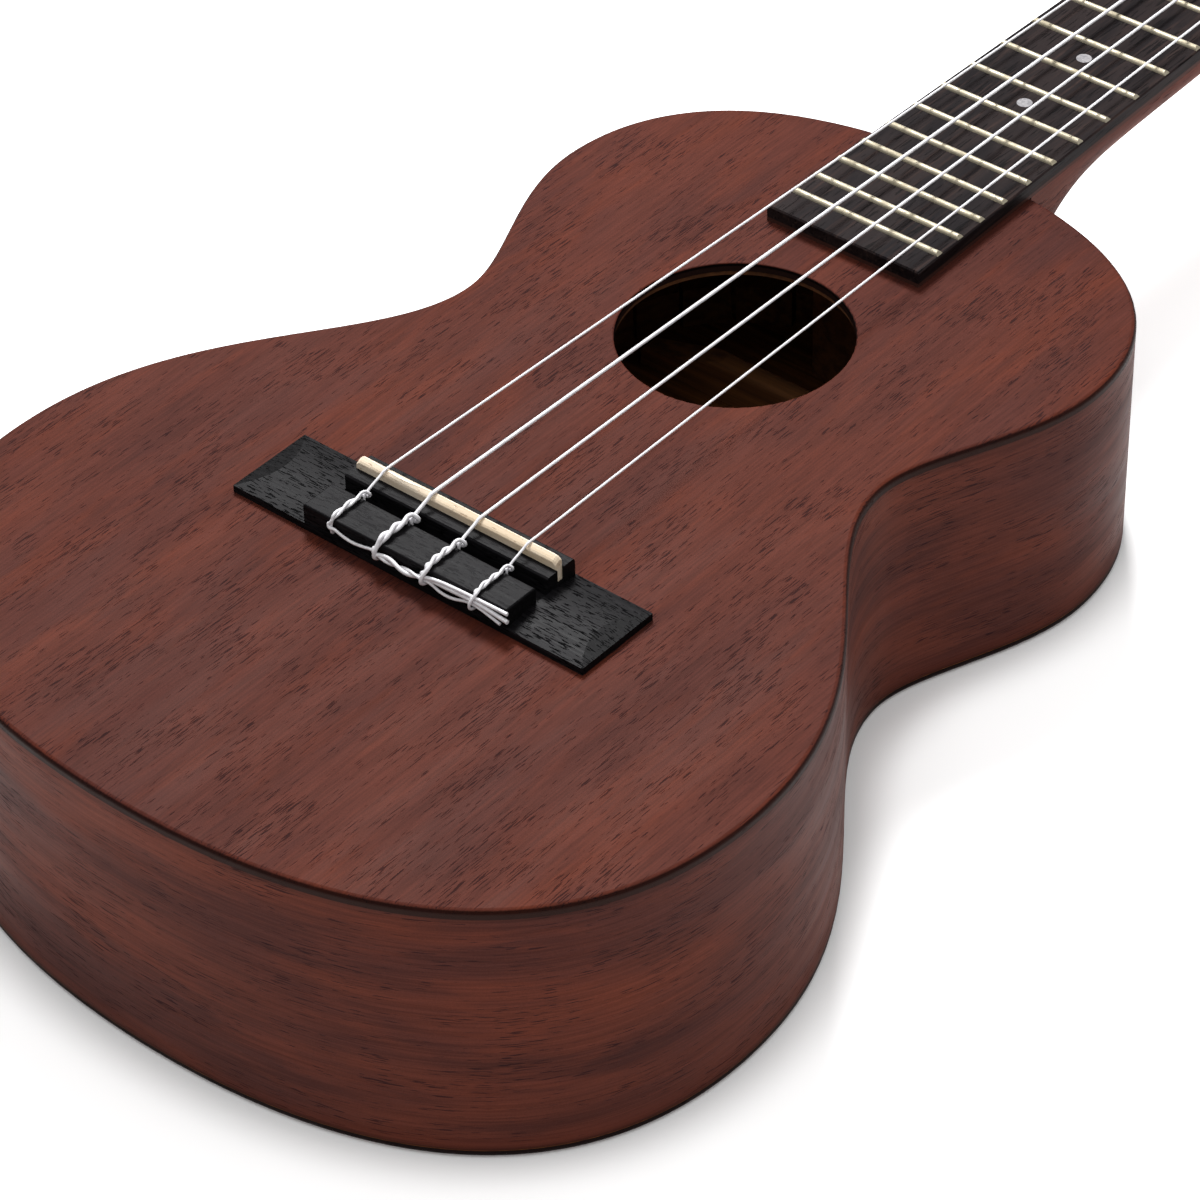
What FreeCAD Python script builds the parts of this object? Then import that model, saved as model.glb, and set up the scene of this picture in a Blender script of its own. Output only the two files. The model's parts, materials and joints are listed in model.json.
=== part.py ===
import FreeCAD, Part
import math
import os

# Tenor ukulele, built as separate pieces, in millimetres.
#
# Everything is drawn in the instrument's own working frame:
#   x  across, towards the thinnest string
#   y  along the neck, zero at the bridge's front edge
#   z  up from the soundboard's outer face
# and is turned at export, so that the flat back lies on Z = 0.

Vec = FreeCAD.Vector
ACROSS = Vec(1, 0, 0)
ALONG = Vec(0, 1, 0)
UP = Vec(0, 0, 1)

# ---------------------------------------------------------------- body
TAIL_Y = -122.0            # outline's end at the tail
LOWER_BOUT_HALF = 114.4    # widest half-width, and where it is
LOWER_BOUT_Y = -38.0
WAIST_HALF = 66.0
WAIST_Y = 73.2
UPPER_BOUT_HALF = 84.3
UPPER_BOUT_Y = 134.0
NECK_JOINT_Y = 194.0       # outline's end at the neck, the 14th fret
# handle lengths that set how full each bend of the outline is
TAIL_FULLNESS = 67.0
LOWER_BOUT_REAR = 59.0
LOWER_BOUT_FRONT = 57.0
WAIST_REAR = 32.0
WAIST_FRONT = 16.0
UPPER_BOUT_REAR = 23.0
UPPER_BOUT_FRONT = 36.0
SHOULDER_FULLNESS = 55.5
OUTLINE_STEPS = 12         # points taken on each of the four bends

DEPTH_AT_TAIL = 77.0
DEPTH_AT_NECK = 66.5
PLATE = 2.5                # soundboard and back thickness
SIDE = 2.2                 # bent side thickness
EDGE_ROUND = 1.3           # rounding of the soundboard's rim
BACK_ROUND = 1.6           # rounding of the back's rim

SOUNDHOLE_Y = 98.8
SOUNDHOLE_R = 30.2
SOUNDHOLE_ROUND = 0.5
HOLE_RING_WIDTH = 9.0
HOLE_RING_THICK = 1.4

# ------------------------------------------------------ inside the body
LINING_WIDTH = 5.5
LINING_HEIGHT = 12.0
KERF_WIDTH = 1.2
KERF_PITCH = 9.0
KERF_DEPTH = 4.0
NECK_BLOCK_LENGTH = 26.0
NECK_BLOCK_HALF = 27.0
TAIL_BLOCK_LENGTH = 19.0
TAIL_BLOCK_HALF = 34.0
CROSS_BRACE = (7.0, 10.0)            # width, height
SOUNDBOARD_BRACE_Y = {"upper_face_brace": 150.0, "lower_face_brace": 48.0}
FAN_BRACE = (5.0, 6.5)
FAN_REAR_Y = -98.0
FAN_FRONT_Y = 42.0
FAN_SPREAD_REAR = 42.0
FAN_SPREAD_FRONT = 24.0
BRIDGE_PATCH = (130.0, 36.0, 1.8)    # x, y, thickness
BRIDGE_PATCH_Y = -12.7
BACK_BRACE = (7.0, 12.0)
BACK_BRACE_Y = (-40.0, 58.0, 146.0)
BACK_STRIP = (15.0, 2.0)             # width, thickness
BRACE_GAP = 0.5                      # brace ends stop this far from linings
DOWEL_R = 4.0
DOWEL_LENGTH = 36.0
DOWEL_X = 9.0
DOWEL_Z = -22.0

# ------------------------------------------------- fretboard and frets
SCALE = 430.0                        # nut to the bridge's front edge
FRET_COUNT = 18
BOARD_END_Y = 142.4
BOARD_END_HALF = 24.2
BOARD_NUT_HALF = 19.0
BOARD_THICK = 4.6
BOARD_CHAMFER = 0.4
FRET_WIDTH = 2.2
FRET_CROWN = 0.85
FRET_TANG = (0.6, 1.6)               # width, depth
FRET_INSET = 0.3
FRET_BEVEL = 0.8
FRET_SLOT_END = 1.6
DOT_FRETS = (5, 7, 10, 12)
DOT_R = 2.1
DOT_DEPTH = 1.0
NUT_LENGTH = 4.5
NUT_TOP = 6.1

# ---------------------------------------------------------------- neck
NECK_START_Y = 186.0
NECK_END_Y = 437.0
SHAFT_DEPTH = (16.4, 14.0)           # under the fretboard, at the body and at the nut
HEEL_DEPTH = 62.5
HEEL_FLOOR_Z = -62.0
HEEL_REACH = 14.6                    # how quickly the heel sweeps into the shaft
HEEL_SWEEP = 1.4
BELLY_HALF = (0.62, 0.46)            # rounded bottom over top, shaft and heel
FLANK_DOWN = 0.45                    # share of the depth where the flanks stay up
NECK_HEEL_STEP = 3.0
NECK_SHAFT_STEP = 12.0
BELLY_STEPS = 6

# ----------------------------------------------------------- headstock
HEAD_ANGLE = 12.0                    # degrees, tilted back
HEAD_THICK = 12.0                    # wood without the veneer
VENEER = 1.5
HEAD_LENGTH = 134.0
HEAD_FLARE = 30.0
HEAD_HALF_FLARE = 31.0
HEAD_WAIST = 76.0
HEAD_HALF_WAIST = 28.5
HEAD_SHOULDER = 120.0
HEAD_HALF_TOP = 31.0

# -------------------------------------------------------------- tuners
POST_X = 17.0
POST_U = (37.0, 87.0)                # distance from the nut's back
POST_R = 3.0
POST_TOP = 13.5
POST_HOLE_R = 0.9
POST_HOLE_W = 8.6
BUSHING_R = 4.0
BUSHING_DEPTH = 8.0
BUSHING_FLANGE = (5.6, 1.0)
RUNNING = 0.06                       # radial clearance of turning shafts
TEETH = 14
MODULE = 0.8
WORM_R = 2.6                         # pitch radius
ADDENDUM = 0.65
DEDENDUM = 0.95
TOOTH_PLAY = 0.34                    # taken off the tooth and the thread together
FLANK = 20.0
WORM_LENGTH = 11.0
SHAFT_R = 1.55
WHEEL_WIDTH = 4.0
WHEEL_HUB_R = 2.0
PLATE_THICK = 1.2
PLATE_GAP = 1.6                      # wheel's face over the plate
TAB_THICK = 1.6
TAB_GAP = 0.15
TAB_WIDTH = 7.0
PLATE_X = (-9.0, 9.0)
SCREW_R = 1.1
SCREW_HEAD = (2.4, 1.2)
SCREW_LENGTH = 8.0
GEAR_SCREW_R = 1.0
BUTTON_GAP = 1.2                     # collar's distance from the headstock
BUTTON = (12.0, 15.0, 7.0)           # out, across, thick
BUTTON_COLLAR = (3.2, 3.0)           # radius, length

# -------------------------------------------------------------- bridge
BRIDGE_HALF = 54.4
BRIDGE_REAR_Y = -25.2
WING_CROWN = 2.9                     # height along the middle of a wing
WING_EDGE = 2.0                      # height along its front and rear edges, and at its tip
WING_FACET = 5.4                     # length of the slope that thins the tip
BLOCK_HALF = 31.6
BLOCK_TOP = 7.3
BLOCK_Y = (-24.9, -14.5)
CHANNEL_FLOOR = 2.0
RAILS_Y = (-10.3, -0.5)              # both rails, with the saddle's slot between them
RAIL_TOP = 7.3
SLOT_FLOOR = 3.4
SADDLE_Y = (-6.75, -4.45)
SADDLE_HALF = 31.0
SADDLE_TOP = 10.2
SADDLE_CROWN = 1.0

# ------------------------------------------------------------- strings
# name, radius, x at the saddle, x at the nut, tuner row, and the height
# of the cut end behind the tie block, or None where it is cut on the block
STRINGS = (
    ("g", 0.33, -22.2, -13.9, 0, 4.7),
    ("c", 0.46, -7.4, -4.65, 1, 5.5),
    ("e", 0.40, 7.4, 4.65, 1, 6.4),
    ("a", 0.31, 22.2, 13.9, 0, None),
)
GROOVE = 0.02                        # slot wall over the string
TIE_HOLE_Z = 3.3
STRING_END_GAP = 3.2                 # string's end before its coil
COIL_W = 4.0
COIL_TURNS = 2.5
COIL_STEPS = 16                      # short runs in each turn
TAIL_END_X = 33.0

TAPER = math.atan((DEPTH_AT_TAIL - DEPTH_AT_NECK) / (NECK_JOINT_Y - TAIL_Y))
BODY_MIDDLE_Y = (NECK_JOINT_Y + TAIL_Y) / 2
NUT_BACK_Y = SCALE + NUT_LENGTH
WORM_PITCH = math.pi * MODULE
WHEEL_R = TEETH * MODULE / 2
WORM_OFFSET = -(WHEEL_R + WORM_R)    # the worms lie on the nut's side
HEAD_BACK_W = -(VENEER + HEAD_THICK)
WHEEL_TOP_W = HEAD_BACK_W - PLATE_THICK - PLATE_GAP
GEAR_W = WHEEL_TOP_W - WHEEL_WIDTH / 2


# ------------------------------------------------------- shared helpers
def back_z(y):
    """Height of the back's outer face."""
    return -DEPTH_AT_TAIL + math.tan(TAPER) * (y - TAIL_Y)


def to_row_frame():
    """The back's middle becomes the origin and the back lies flat."""
    pivot = Vec(0, BODY_MIDDLE_Y, back_z(BODY_MIDDLE_Y))
    turn = FreeCAD.Placement(Vec(), FreeCAD.Rotation(ACROSS, -math.degrees(TAPER)))
    return turn.multiply(FreeCAD.Placement(pivot.negative(), FreeCAD.Rotation()))


def head_frame():
    """Headstock frame: its face is w = 0, and it starts at the nut."""
    return FreeCAD.Placement(Vec(0, NUT_BACK_Y, 0), FreeCAD.Rotation(ACROSS, -HEAD_ANGLE))


def export(name, shape):
    """Write one node in the row's frame."""
    placed = shape.copy()
    placed.Placement = to_row_frame().multiply(placed.Placement)
    placed.exportStep("parts/" + name + ".step")


def on_head(shape):
    """Move a shape drawn in the headstock frame to its place."""
    placed = shape.copy()
    placed.Placement = head_frame().multiply(placed.Placement)
    return placed


def box(x, y, z):
    """A box from its (low, high) ranges."""
    return Part.makeBox(x[1] - x[0], y[1] - y[0], z[1] - z[0], Vec(x[0], y[0], z[0]))


def cylinder(radius, start, end):
    """A round bar between two points."""
    return Part.makeCylinder(radius, end.sub(start).Length, start, end.sub(start))


def one_solid(shape):
    """The only solid of a boolean's result."""
    clean = shape.removeSplitter()
    return clean.Solids[0]


def fuse(shapes):
    """Join overlapping shapes into one solid."""
    return one_solid(shapes[0].multiFuse(shapes[1:]))


def edges_where(shape, test):
    """Edges whose middle point passes a test."""
    return [edge for edge in shape.Edges if test(edge.CenterOfMass)]


# --------------------------------------------------------- body outline
def outline_bends():
    """Four smooth bends of the treble half, from tail to neck."""
    tail = Vec(0, TAIL_Y, 0)
    lower = Vec(LOWER_BOUT_HALF, LOWER_BOUT_Y, 0)
    waist = Vec(WAIST_HALF, WAIST_Y, 0)
    upper = Vec(UPPER_BOUT_HALF, UPPER_BOUT_Y, 0)
    neck = Vec(0, NECK_JOINT_Y, 0)
    return (
        (tail, tail + ACROSS * TAIL_FULLNESS, lower - ALONG * LOWER_BOUT_REAR, lower),
        (lower, lower + ALONG * LOWER_BOUT_FRONT, waist - ALONG * WAIST_REAR, waist),
        (waist, waist + ALONG * WAIST_FRONT, upper - ALONG * UPPER_BOUT_REAR, upper),
        (upper, upper + ALONG * UPPER_BOUT_FRONT, neck + ACROSS * SHOULDER_FULLNESS, neck),
    )


def half_outline(inset):
    """Points of the treble half, moved inwards by inset, with normals."""
    points = []
    for number, poles in enumerate(outline_bends()):
        curve = Part.BezierCurve()
        curve.setPoles(list(poles))
        first = 0 if number == 0 else 1
        for step in range(first, OUTLINE_STEPS + 1):
            t = step / OUTLINE_STEPS
            tangent = curve.tangent(t)[0]
            inward = Vec(-tangent.y, tangent.x, 0)
            points.append((curve.value(t) + inward * inset, inward))
    return points


def outline_edge(inset, hand):
    """One half of the outline as a smooth edge; hand is +1 or -1."""
    points = []
    for point, _ in half_outline(inset):
        points.append(Vec(hand * point.x, point.y, 0))
    curve = Part.BSplineCurve()
    curve.interpolate(Points=points, InitialTangent=Vec(hand, 0, 0), FinalTangent=Vec(-hand, 0, 0))
    return curve.toShape()


def outline_prism(inset, low, high):
    """The whole outline as a solid between two heights."""
    wire = Part.Wire([outline_edge(inset, 1), outline_edge(inset, -1).reversed()])
    prism = Part.Face(wire).extrude(Vec(0, 0, high - low))
    prism.translate(Vec(0, 0, low))
    return prism


def half_rim(outer, inner, hand, low, high):
    """Half a ring that follows the outline between two insets."""
    outside = outline_edge(outer, hand)
    inside = outline_edge(inner, hand)
    tail_end = Part.LineSegment(Vec(0, TAIL_Y + inner, 0), Vec(0, TAIL_Y + outer, 0))
    neck_end = Part.LineSegment(Vec(0, NECK_JOINT_Y - outer, 0), Vec(0, NECK_JOINT_Y - inner, 0))
    wire = Part.Wire(Part.sortEdges([outside, inside, tail_end.toShape(), neck_end.toShape()])[0])
    rim = Part.Face(wire).extrude(Vec(0, 0, high - low))
    rim.translate(Vec(0, 0, low))
    return rim


def slab_over_back(low, high):
    """A slab parallel to the back, between two heights above its face."""
    slab = box((-200, 200), (-250, 350), (low, high))
    slab.Placement = to_row_frame().inverse().multiply(slab.Placement)
    return slab


# ----------------------------------------------------------- body shell
def make_soundboard():
    plate = outline_prism(0, -PLATE, 0)
    rim = edges_where(plate, lambda middle: abs(middle.z) < 0.01)
    plate = plate.makeFillet(EDGE_ROUND, rim)
    centre = Vec(0, SOUNDHOLE_Y, -PLATE - 1)
    plate = plate.cut(Part.makeCylinder(SOUNDHOLE_R, PLATE + 2, centre))
    mouth = edges_where(plate, lambda m: abs(m.z) < 0.01 and abs(m.y - SOUNDHOLE_Y) < 1)
    return one_solid(plate.makeFillet(SOUNDHOLE_ROUND, mouth))


def make_back_plate():
    plate = outline_prism(0, 0, PLATE)
    rim = edges_where(plate, lambda middle: abs(middle.z) < 0.01)
    plate = one_solid(plate.makeFillet(BACK_ROUND, rim))
    centred = FreeCAD.Placement(Vec(0, -BODY_MIDDLE_Y, 0), FreeCAD.Rotation())
    plate.Placement = to_row_frame().inverse().multiply(centred)
    return plate


def make_side(hand):
    rim = half_rim(0, SIDE, hand, -DEPTH_AT_TAIL - 5, -PLATE)
    rim = rim.common(slab_over_back(PLATE, 200))
    hole_x = hand * DOWEL_X
    start = Vec(hole_x, NECK_JOINT_Y - 15, DOWEL_Z)
    hole = cylinder(DOWEL_R, start, start + ALONG * 20)
    return one_solid(rim.cut(hole))


def neck_block_blank():
    y_range = (NECK_JOINT_Y - SIDE - NECK_BLOCK_LENGTH, NECK_JOINT_Y + 5)
    return box((-NECK_BLOCK_HALF, NECK_BLOCK_HALF), y_range, (-DEPTH_AT_TAIL, -PLATE))


def tail_block_blank():
    y_range = (TAIL_Y - 5, TAIL_Y + SIDE + TAIL_BLOCK_LENGTH)
    return box((-TAIL_BLOCK_HALF, TAIL_BLOCK_HALF), y_range, (-DEPTH_AT_TAIL - 5, -PLATE))


def cavity(inset):
    """The space inside the shell, inside an inset from the outline."""
    prism = outline_prism(inset, -DEPTH_AT_TAIL - 20, -PLATE)
    return prism.common(slab_over_back(PLATE, 200))


def make_neck_block():
    block = neck_block_blank().common(cavity(SIDE))
    return one_solid(block.cut(Part.makeCompound(dowels())))


def make_tail_block():
    return one_solid(tail_block_blank().common(cavity(SIDE)))


def kerfs(hand, z_range):
    """Saw cuts across a lining, square to the outline."""
    cuts = []
    travelled = 0
    previous = None
    for point, inward in half_outline(SIDE + LINING_WIDTH):
        place = Vec(hand * point.x, point.y, 0)
        direction = Vec(hand * inward.x, inward.y, 0)
        if previous is not None:
            travelled += place.sub(previous).Length
        previous = place
        if travelled < KERF_PITCH:
            continue
        travelled = 0
        cut = box((-KERF_DEPTH, 1.0), (-KERF_WIDTH / 2, KERF_WIDTH / 2), z_range)
        angle = math.degrees(math.atan2(direction.y, direction.x))
        cut.Placement = FreeCAD.Placement(place, FreeCAD.Rotation(UP, angle))
        cuts.append(cut)
    return Part.makeCompound(cuts)


def make_lining(hand, at_back):
    """A notched strip that widens the glue joint along a side."""
    whole = (-DEPTH_AT_TAIL - 10, -PLATE)
    strip = half_rim(SIDE, SIDE + LINING_WIDTH, hand, whole[0], whole[1])
    if at_back:
        strip = strip.common(slab_over_back(PLATE, PLATE + LINING_HEIGHT))
    else:
        height = box((-200, 200), (-200, 300), (-PLATE - LINING_HEIGHT, -PLATE))
        strip = strip.common(height)
    strip = strip.cut(neck_block_blank())
    strip = strip.cut(tail_block_blank())
    return one_solid(strip.cut(kerfs(hand, whole)))


def brace_bar(length, width, height):
    """A bar along x that thins towards its ends and has a rounded keel."""
    half = length / 2
    points = (
        Vec(-half, 0, 0),
        Vec(-half, 0, -height * 0.35),
        Vec(-half * 0.6, 0, -height),
        Vec(half * 0.6, 0, -height),
        Vec(half, 0, -height * 0.35),
        Vec(half, 0, 0),
        Vec(-half, 0, 0),
    )
    bar = Part.Face(Part.makePolygon(points)).extrude(Vec(0, width, 0))
    bar.translate(Vec(0, -width / 2, 0))
    keel = edges_where(bar, lambda middle: middle.z < -height * 0.9 and abs(middle.y) > 0.1)
    return bar.makeFillet(width * 0.3, keel)


def half_width_at(y, inset):
    """Half-width of the inset outline at one place along the body."""
    line = box((0, 150), (y - 0.01, y + 0.01), (-1, 1))
    return outline_prism(inset, -1, 1).common(line).BoundBox.XMax


def make_face_brace(y):
    clear = SIDE + LINING_WIDTH + BRACE_GAP
    bar = brace_bar(2 * half_width_at(y + 4, clear) - 12, CROSS_BRACE[0], CROSS_BRACE[1])
    bar.translate(Vec(0, y, -PLATE))
    return one_solid(bar.common(cavity(clear)))


def bridge_patch():
    half_x = BRIDGE_PATCH[0] / 2
    half_y = BRIDGE_PATCH[1] / 2
    y_range = (BRIDGE_PATCH_Y - half_y, BRIDGE_PATCH_Y + half_y)
    return box((-half_x, half_x), y_range, (-PLATE - BRIDGE_PATCH[2], -PLATE))


def make_fan_braces():
    """Three struts that spread under the bridge, notched over its patch."""
    braces = []
    for place in (-1, 0, 1):
        front = Vec(place * FAN_SPREAD_FRONT, FAN_FRONT_Y, -PLATE)
        rear = Vec(place * FAN_SPREAD_REAR, FAN_REAR_Y, -PLATE)
        run = front.sub(rear)
        bar = brace_bar(run.Length, FAN_BRACE[0], FAN_BRACE[1])
        angle = math.degrees(math.atan2(run.y, run.x))
        middle = front.add(rear).multiply(0.5)
        bar.Placement = FreeCAD.Placement(middle, FreeCAD.Rotation(UP, angle)).multiply(bar.Placement)
        braces.append(one_solid(bar.cut(bridge_patch())))
    return Part.makeCompound(braces)


def make_soundhole_ring():
    centre = Vec(0, SOUNDHOLE_Y, -PLATE - HOLE_RING_THICK)
    ring = Part.makeCylinder(SOUNDHOLE_R + HOLE_RING_WIDTH, HOLE_RING_THICK, centre)
    return one_solid(ring.cut(Part.makeCylinder(SOUNDHOLE_R + 0.4, HOLE_RING_THICK, centre)))


def back_strip():
    half = BACK_STRIP[0] / 2
    y_range = (TAIL_Y + SIDE + TAIL_BLOCK_LENGTH, NECK_JOINT_Y - SIDE - NECK_BLOCK_LENGTH)
    strip = box((-half, half), y_range, (-DEPTH_AT_TAIL - 5, 0))
    return strip.common(slab_over_back(PLATE, PLATE + BACK_STRIP[1]))


def make_back_braces():
    """Three struts across the back, notched over the centre strip."""
    clear = SIDE + LINING_WIDTH + BRACE_GAP
    braces = []
    for y in BACK_BRACE_Y:
        bar = brace_bar(2 * half_width_at(y + 4, clear) - 12, BACK_BRACE[0], BACK_BRACE[1])
        bar.rotate(Vec(), ACROSS, 180 + math.degrees(TAPER))
        bar.translate(Vec(0, y, back_z(y) + PLATE / math.cos(TAPER)))
        bar = bar.common(cavity(clear))
        braces.append(one_solid(bar.cut(back_strip())))
    return Part.makeCompound(braces)


def dowels():
    pins = []
    for hand in (-1, 1):
        start = Vec(hand * DOWEL_X, NECK_JOINT_Y - DOWEL_LENGTH / 2, DOWEL_Z)
        pins.append(cylinder(DOWEL_R, start, start + ALONG * DOWEL_LENGTH))
    return pins


# ------------------------------------------------- fretboard and frets
def fret_y(number):
    """Distance of a fret from the bridge's front edge."""
    return SCALE * 2 ** (-number / 12)


def board_half(y):
    """Half-width of the fretboard."""
    run = (y - BOARD_END_Y) / (SCALE - BOARD_END_Y)
    return BOARD_END_HALF + (BOARD_NUT_HALF - BOARD_END_HALF) * run


def tangs():
    width = FRET_TANG[0]
    bars = []
    for number in range(1, FRET_COUNT + 1):
        y = fret_y(number)
        half = board_half(y) - FRET_SLOT_END
        depth = (BOARD_THICK - FRET_TANG[1], BOARD_THICK)
        bars.append(box((-half, half), (y - width / 2, y + width / 2), depth))
    return bars


def dots():
    plugs = []
    for number in DOT_FRETS:
        y = (fret_y(number) + fret_y(number - 1)) / 2
        plugs.append(Part.makeCylinder(DOT_R, DOT_DEPTH, Vec(0, y, BOARD_THICK - DOT_DEPTH)))
    return plugs


def make_fretboard():
    corners = (
        Vec(-BOARD_END_HALF, BOARD_END_Y, 0),
        Vec(BOARD_END_HALF, BOARD_END_Y, 0),
        Vec(BOARD_NUT_HALF, SCALE, 0),
        Vec(-BOARD_NUT_HALF, SCALE, 0),
        Vec(-BOARD_END_HALF, BOARD_END_Y, 0),
    )
    board = Part.Face(Part.makePolygon(corners)).extrude(Vec(0, 0, BOARD_THICK))
    rims = edges_where(board, lambda m: abs(m.z - BOARD_THICK) < 0.01 and m.y < SCALE - 1)
    board = board.makeChamfer(BOARD_CHAMFER, rims)
    return one_solid(board.cut(Part.makeCompound(tangs() + dots())))


def make_frets():
    """Fret wires: a round crown with bevelled ends over a buried tang."""
    wires = []
    for number, tang in enumerate(tangs(), 1):
        y = fret_y(number)
        half = board_half(y) - FRET_INSET
        arc = Part.Arc(
            Vec(-half, y - FRET_WIDTH / 2, BOARD_THICK),
            Vec(-half, y, BOARD_THICK + FRET_CROWN),
            Vec(-half, y + FRET_WIDTH / 2, BOARD_THICK),
        )
        base = Part.LineSegment(arc.EndPoint, arc.StartPoint)
        crown = Part.Face(Part.Wire([arc.toShape(), base.toShape()])).extrude(Vec(2 * half, 0, 0))
        wires.append(one_solid(crown.cut(bevels(y, half)).fuse(tang)))
    return Part.makeCompound(wires)


def bevels(y, half):
    """Wedges that slope both ends of a fret's crown."""
    wedges = []
    high = BOARD_THICK + 2 * FRET_CROWN
    for hand in (-1, 1):
        corners = (
            Vec(hand * half, y - FRET_WIDTH, BOARD_THICK),
            Vec(hand * (half + 3), y - FRET_WIDTH, BOARD_THICK),
            Vec(hand * (half + 3), y - FRET_WIDTH, high),
            Vec(hand * (half - 2 * FRET_BEVEL), y - FRET_WIDTH, high),
            Vec(hand * half, y - FRET_WIDTH, BOARD_THICK),
        )
        wedges.append(Part.Face(Part.makePolygon(corners)).extrude(Vec(0, 2 * FRET_WIDTH, 0)))
    return Part.makeCompound(wedges)


def make_nut():
    half = BOARD_NUT_HALF
    nut = box((-half, half), (SCALE, NUT_BACK_Y), (0, NUT_TOP))
    rear_edge = edges_where(nut, lambda m: m.z > NUT_TOP - 0.1 and m.y > NUT_BACK_Y - 0.1)
    nut = nut.makeFillet(2.2, rear_edge)
    grooves = [string_tube(entry, GROOVE, speaking_route(entry)) for entry in STRINGS]
    return one_solid(nut.cut(Part.makeCompound(grooves)))


# ---------------------------------------------------- neck and headstock
def belly_row(y):
    """Points around the neck's rounded underside at one place."""
    heel = math.exp(-((max(0, y - NECK_JOINT_Y) / HEEL_REACH) ** HEEL_SWEEP))
    run = (y - NECK_JOINT_Y) / (SCALE - NECK_JOINT_Y)
    shaft = SHAFT_DEPTH[0] + (SHAFT_DEPTH[1] - SHAFT_DEPTH[0]) * run
    depth = shaft + (HEEL_DEPTH - shaft) * heel
    top = board_half(y)
    bottom = top * (BELLY_HALF[0] + (BELLY_HALF[1] - BELLY_HALF[0]) * heel)
    flank = Vec(top, y, -depth * FLANK_DOWN)
    half = Part.BezierCurve()
    half.setPoles([Vec(top, y, 0), flank, Vec(bottom, y, -depth), Vec(0, y, -depth)])
    right = [half.value(step / BELLY_STEPS) for step in range(BELLY_STEPS + 1)]
    left = [Vec(-point.x, y, point.z) for point in reversed(right[:-1])]
    return right + left


def neck_blank():
    """Shaft and heel as one smooth skin, closed by a flat top and ends."""
    rows = []
    y = NECK_START_Y
    while y < NECK_END_Y:
        rows.append(belly_row(y))
        y += NECK_HEEL_STEP if y < NECK_JOINT_Y + 4 * HEEL_REACH else NECK_SHAFT_STEP
    rows.append(belly_row(NECK_END_Y))
    skin = Part.BSplineSurface()
    skin.interpolate(rows)
    u_low, u_high, v_low, v_high = skin.bounds()
    faces = [skin.toShape()]
    for curve in (skin.uIso(u_low), skin.uIso(u_high)):
        chord = Part.LineSegment(curve.value(v_high), curve.value(v_low))
        faces.append(Part.Face(Part.Wire([curve.toShape(), chord.toShape()])))
    corners = [rows[0][0], rows[-1][0], rows[-1][-1], rows[0][-1], rows[0][0]]
    faces.append(Part.Face(Part.makePolygon(corners)))
    shell = Part.makeShell(faces)
    shell.sewShape()
    solid = Part.Solid(shell)
    if solid.Volume < 0:
        solid.reverse()
    return solid


def head_outline():
    """Headstock's face: it flares from the nut, waists and ends in a soft arch."""
    edges = []
    for hand in (1, -1):
        start = Vec(hand * BOARD_NUT_HALF, 0, 0)
        flare = Vec(hand * HEAD_HALF_FLARE, HEAD_FLARE, 0)
        waist = Vec(hand * HEAD_HALF_WAIST, HEAD_WAIST, 0)
        shoulder = Vec(hand * HEAD_HALF_TOP, HEAD_SHOULDER, 0)
        tip = Vec(0, HEAD_LENGTH, 0)
        for poles in (
            (start, start + ALONG * 12, flare - ALONG * 14, flare),
            (flare, flare + ALONG * 14, waist - ALONG * 16, waist),
            (waist, waist + ALONG * 16, shoulder - ALONG * 16, shoulder),
            (shoulder, shoulder + ALONG * 12, tip + ACROSS * (hand * 20), tip),
        ):
            curve = Part.BezierCurve()
            curve.setPoles(list(poles))
            edges.append(curve.toShape())
    base = Part.LineSegment(Vec(-BOARD_NUT_HALF, 0, 0), Vec(BOARD_NUT_HALF, 0, 0))
    edges.append(base.toShape())
    return Part.Wire(Part.sortEdges(edges)[0])


def head_plate(low, high):
    plate = Part.Face(head_outline()).extrude(Vec(0, 0, high - low))
    plate.translate(Vec(0, 0, low))
    return plate


def head_bores():
    """Holes through the headstock for the bushings."""
    bores = []
    for hand in (-1, 1):
        for u in POST_U:
            bores.append(cylinder(BUSHING_R, Vec(hand * POST_X, u, -30), Vec(hand * POST_X, u, 5)))
    return Part.makeCompound(bores)


def make_neck():
    """Shaft, heel and headstock carved from one piece."""
    shaft = neck_blank()
    heel_cut = box((-60, 60), (NECK_START_Y - 5, 260), (-90, HEEL_FLOOR_Z))
    shaft = shaft.cut(heel_cut)
    shaft = shaft.cut(outline_prism(0, -90, 10))
    head = on_head(head_plate(HEAD_BACK_W, -VENEER))
    ledge = on_head(box((-60, 60), (0, 30), (-VENEER, 20)))
    neck = fuse([shaft.cut(ledge), head])
    neck = neck.cut(Part.makeCompound([on_head(head_bores()), on_head(screw_shanks())]))
    return one_solid(neck.cut(Part.makeCompound(dowels())))


def make_headstock_veneer():
    veneer = head_plate(-VENEER, 0)
    rim = edges_where(veneer, lambda m: abs(m.z) < 0.01 and m.y > 1)
    veneer = veneer.makeFillet(0.6, rim).cut(head_bores())
    veneer = on_head(veneer)
    return one_solid(veneer.cut(box((-60, 60), (SCALE - 10, NUT_BACK_Y), (-40, 20))))


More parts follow.
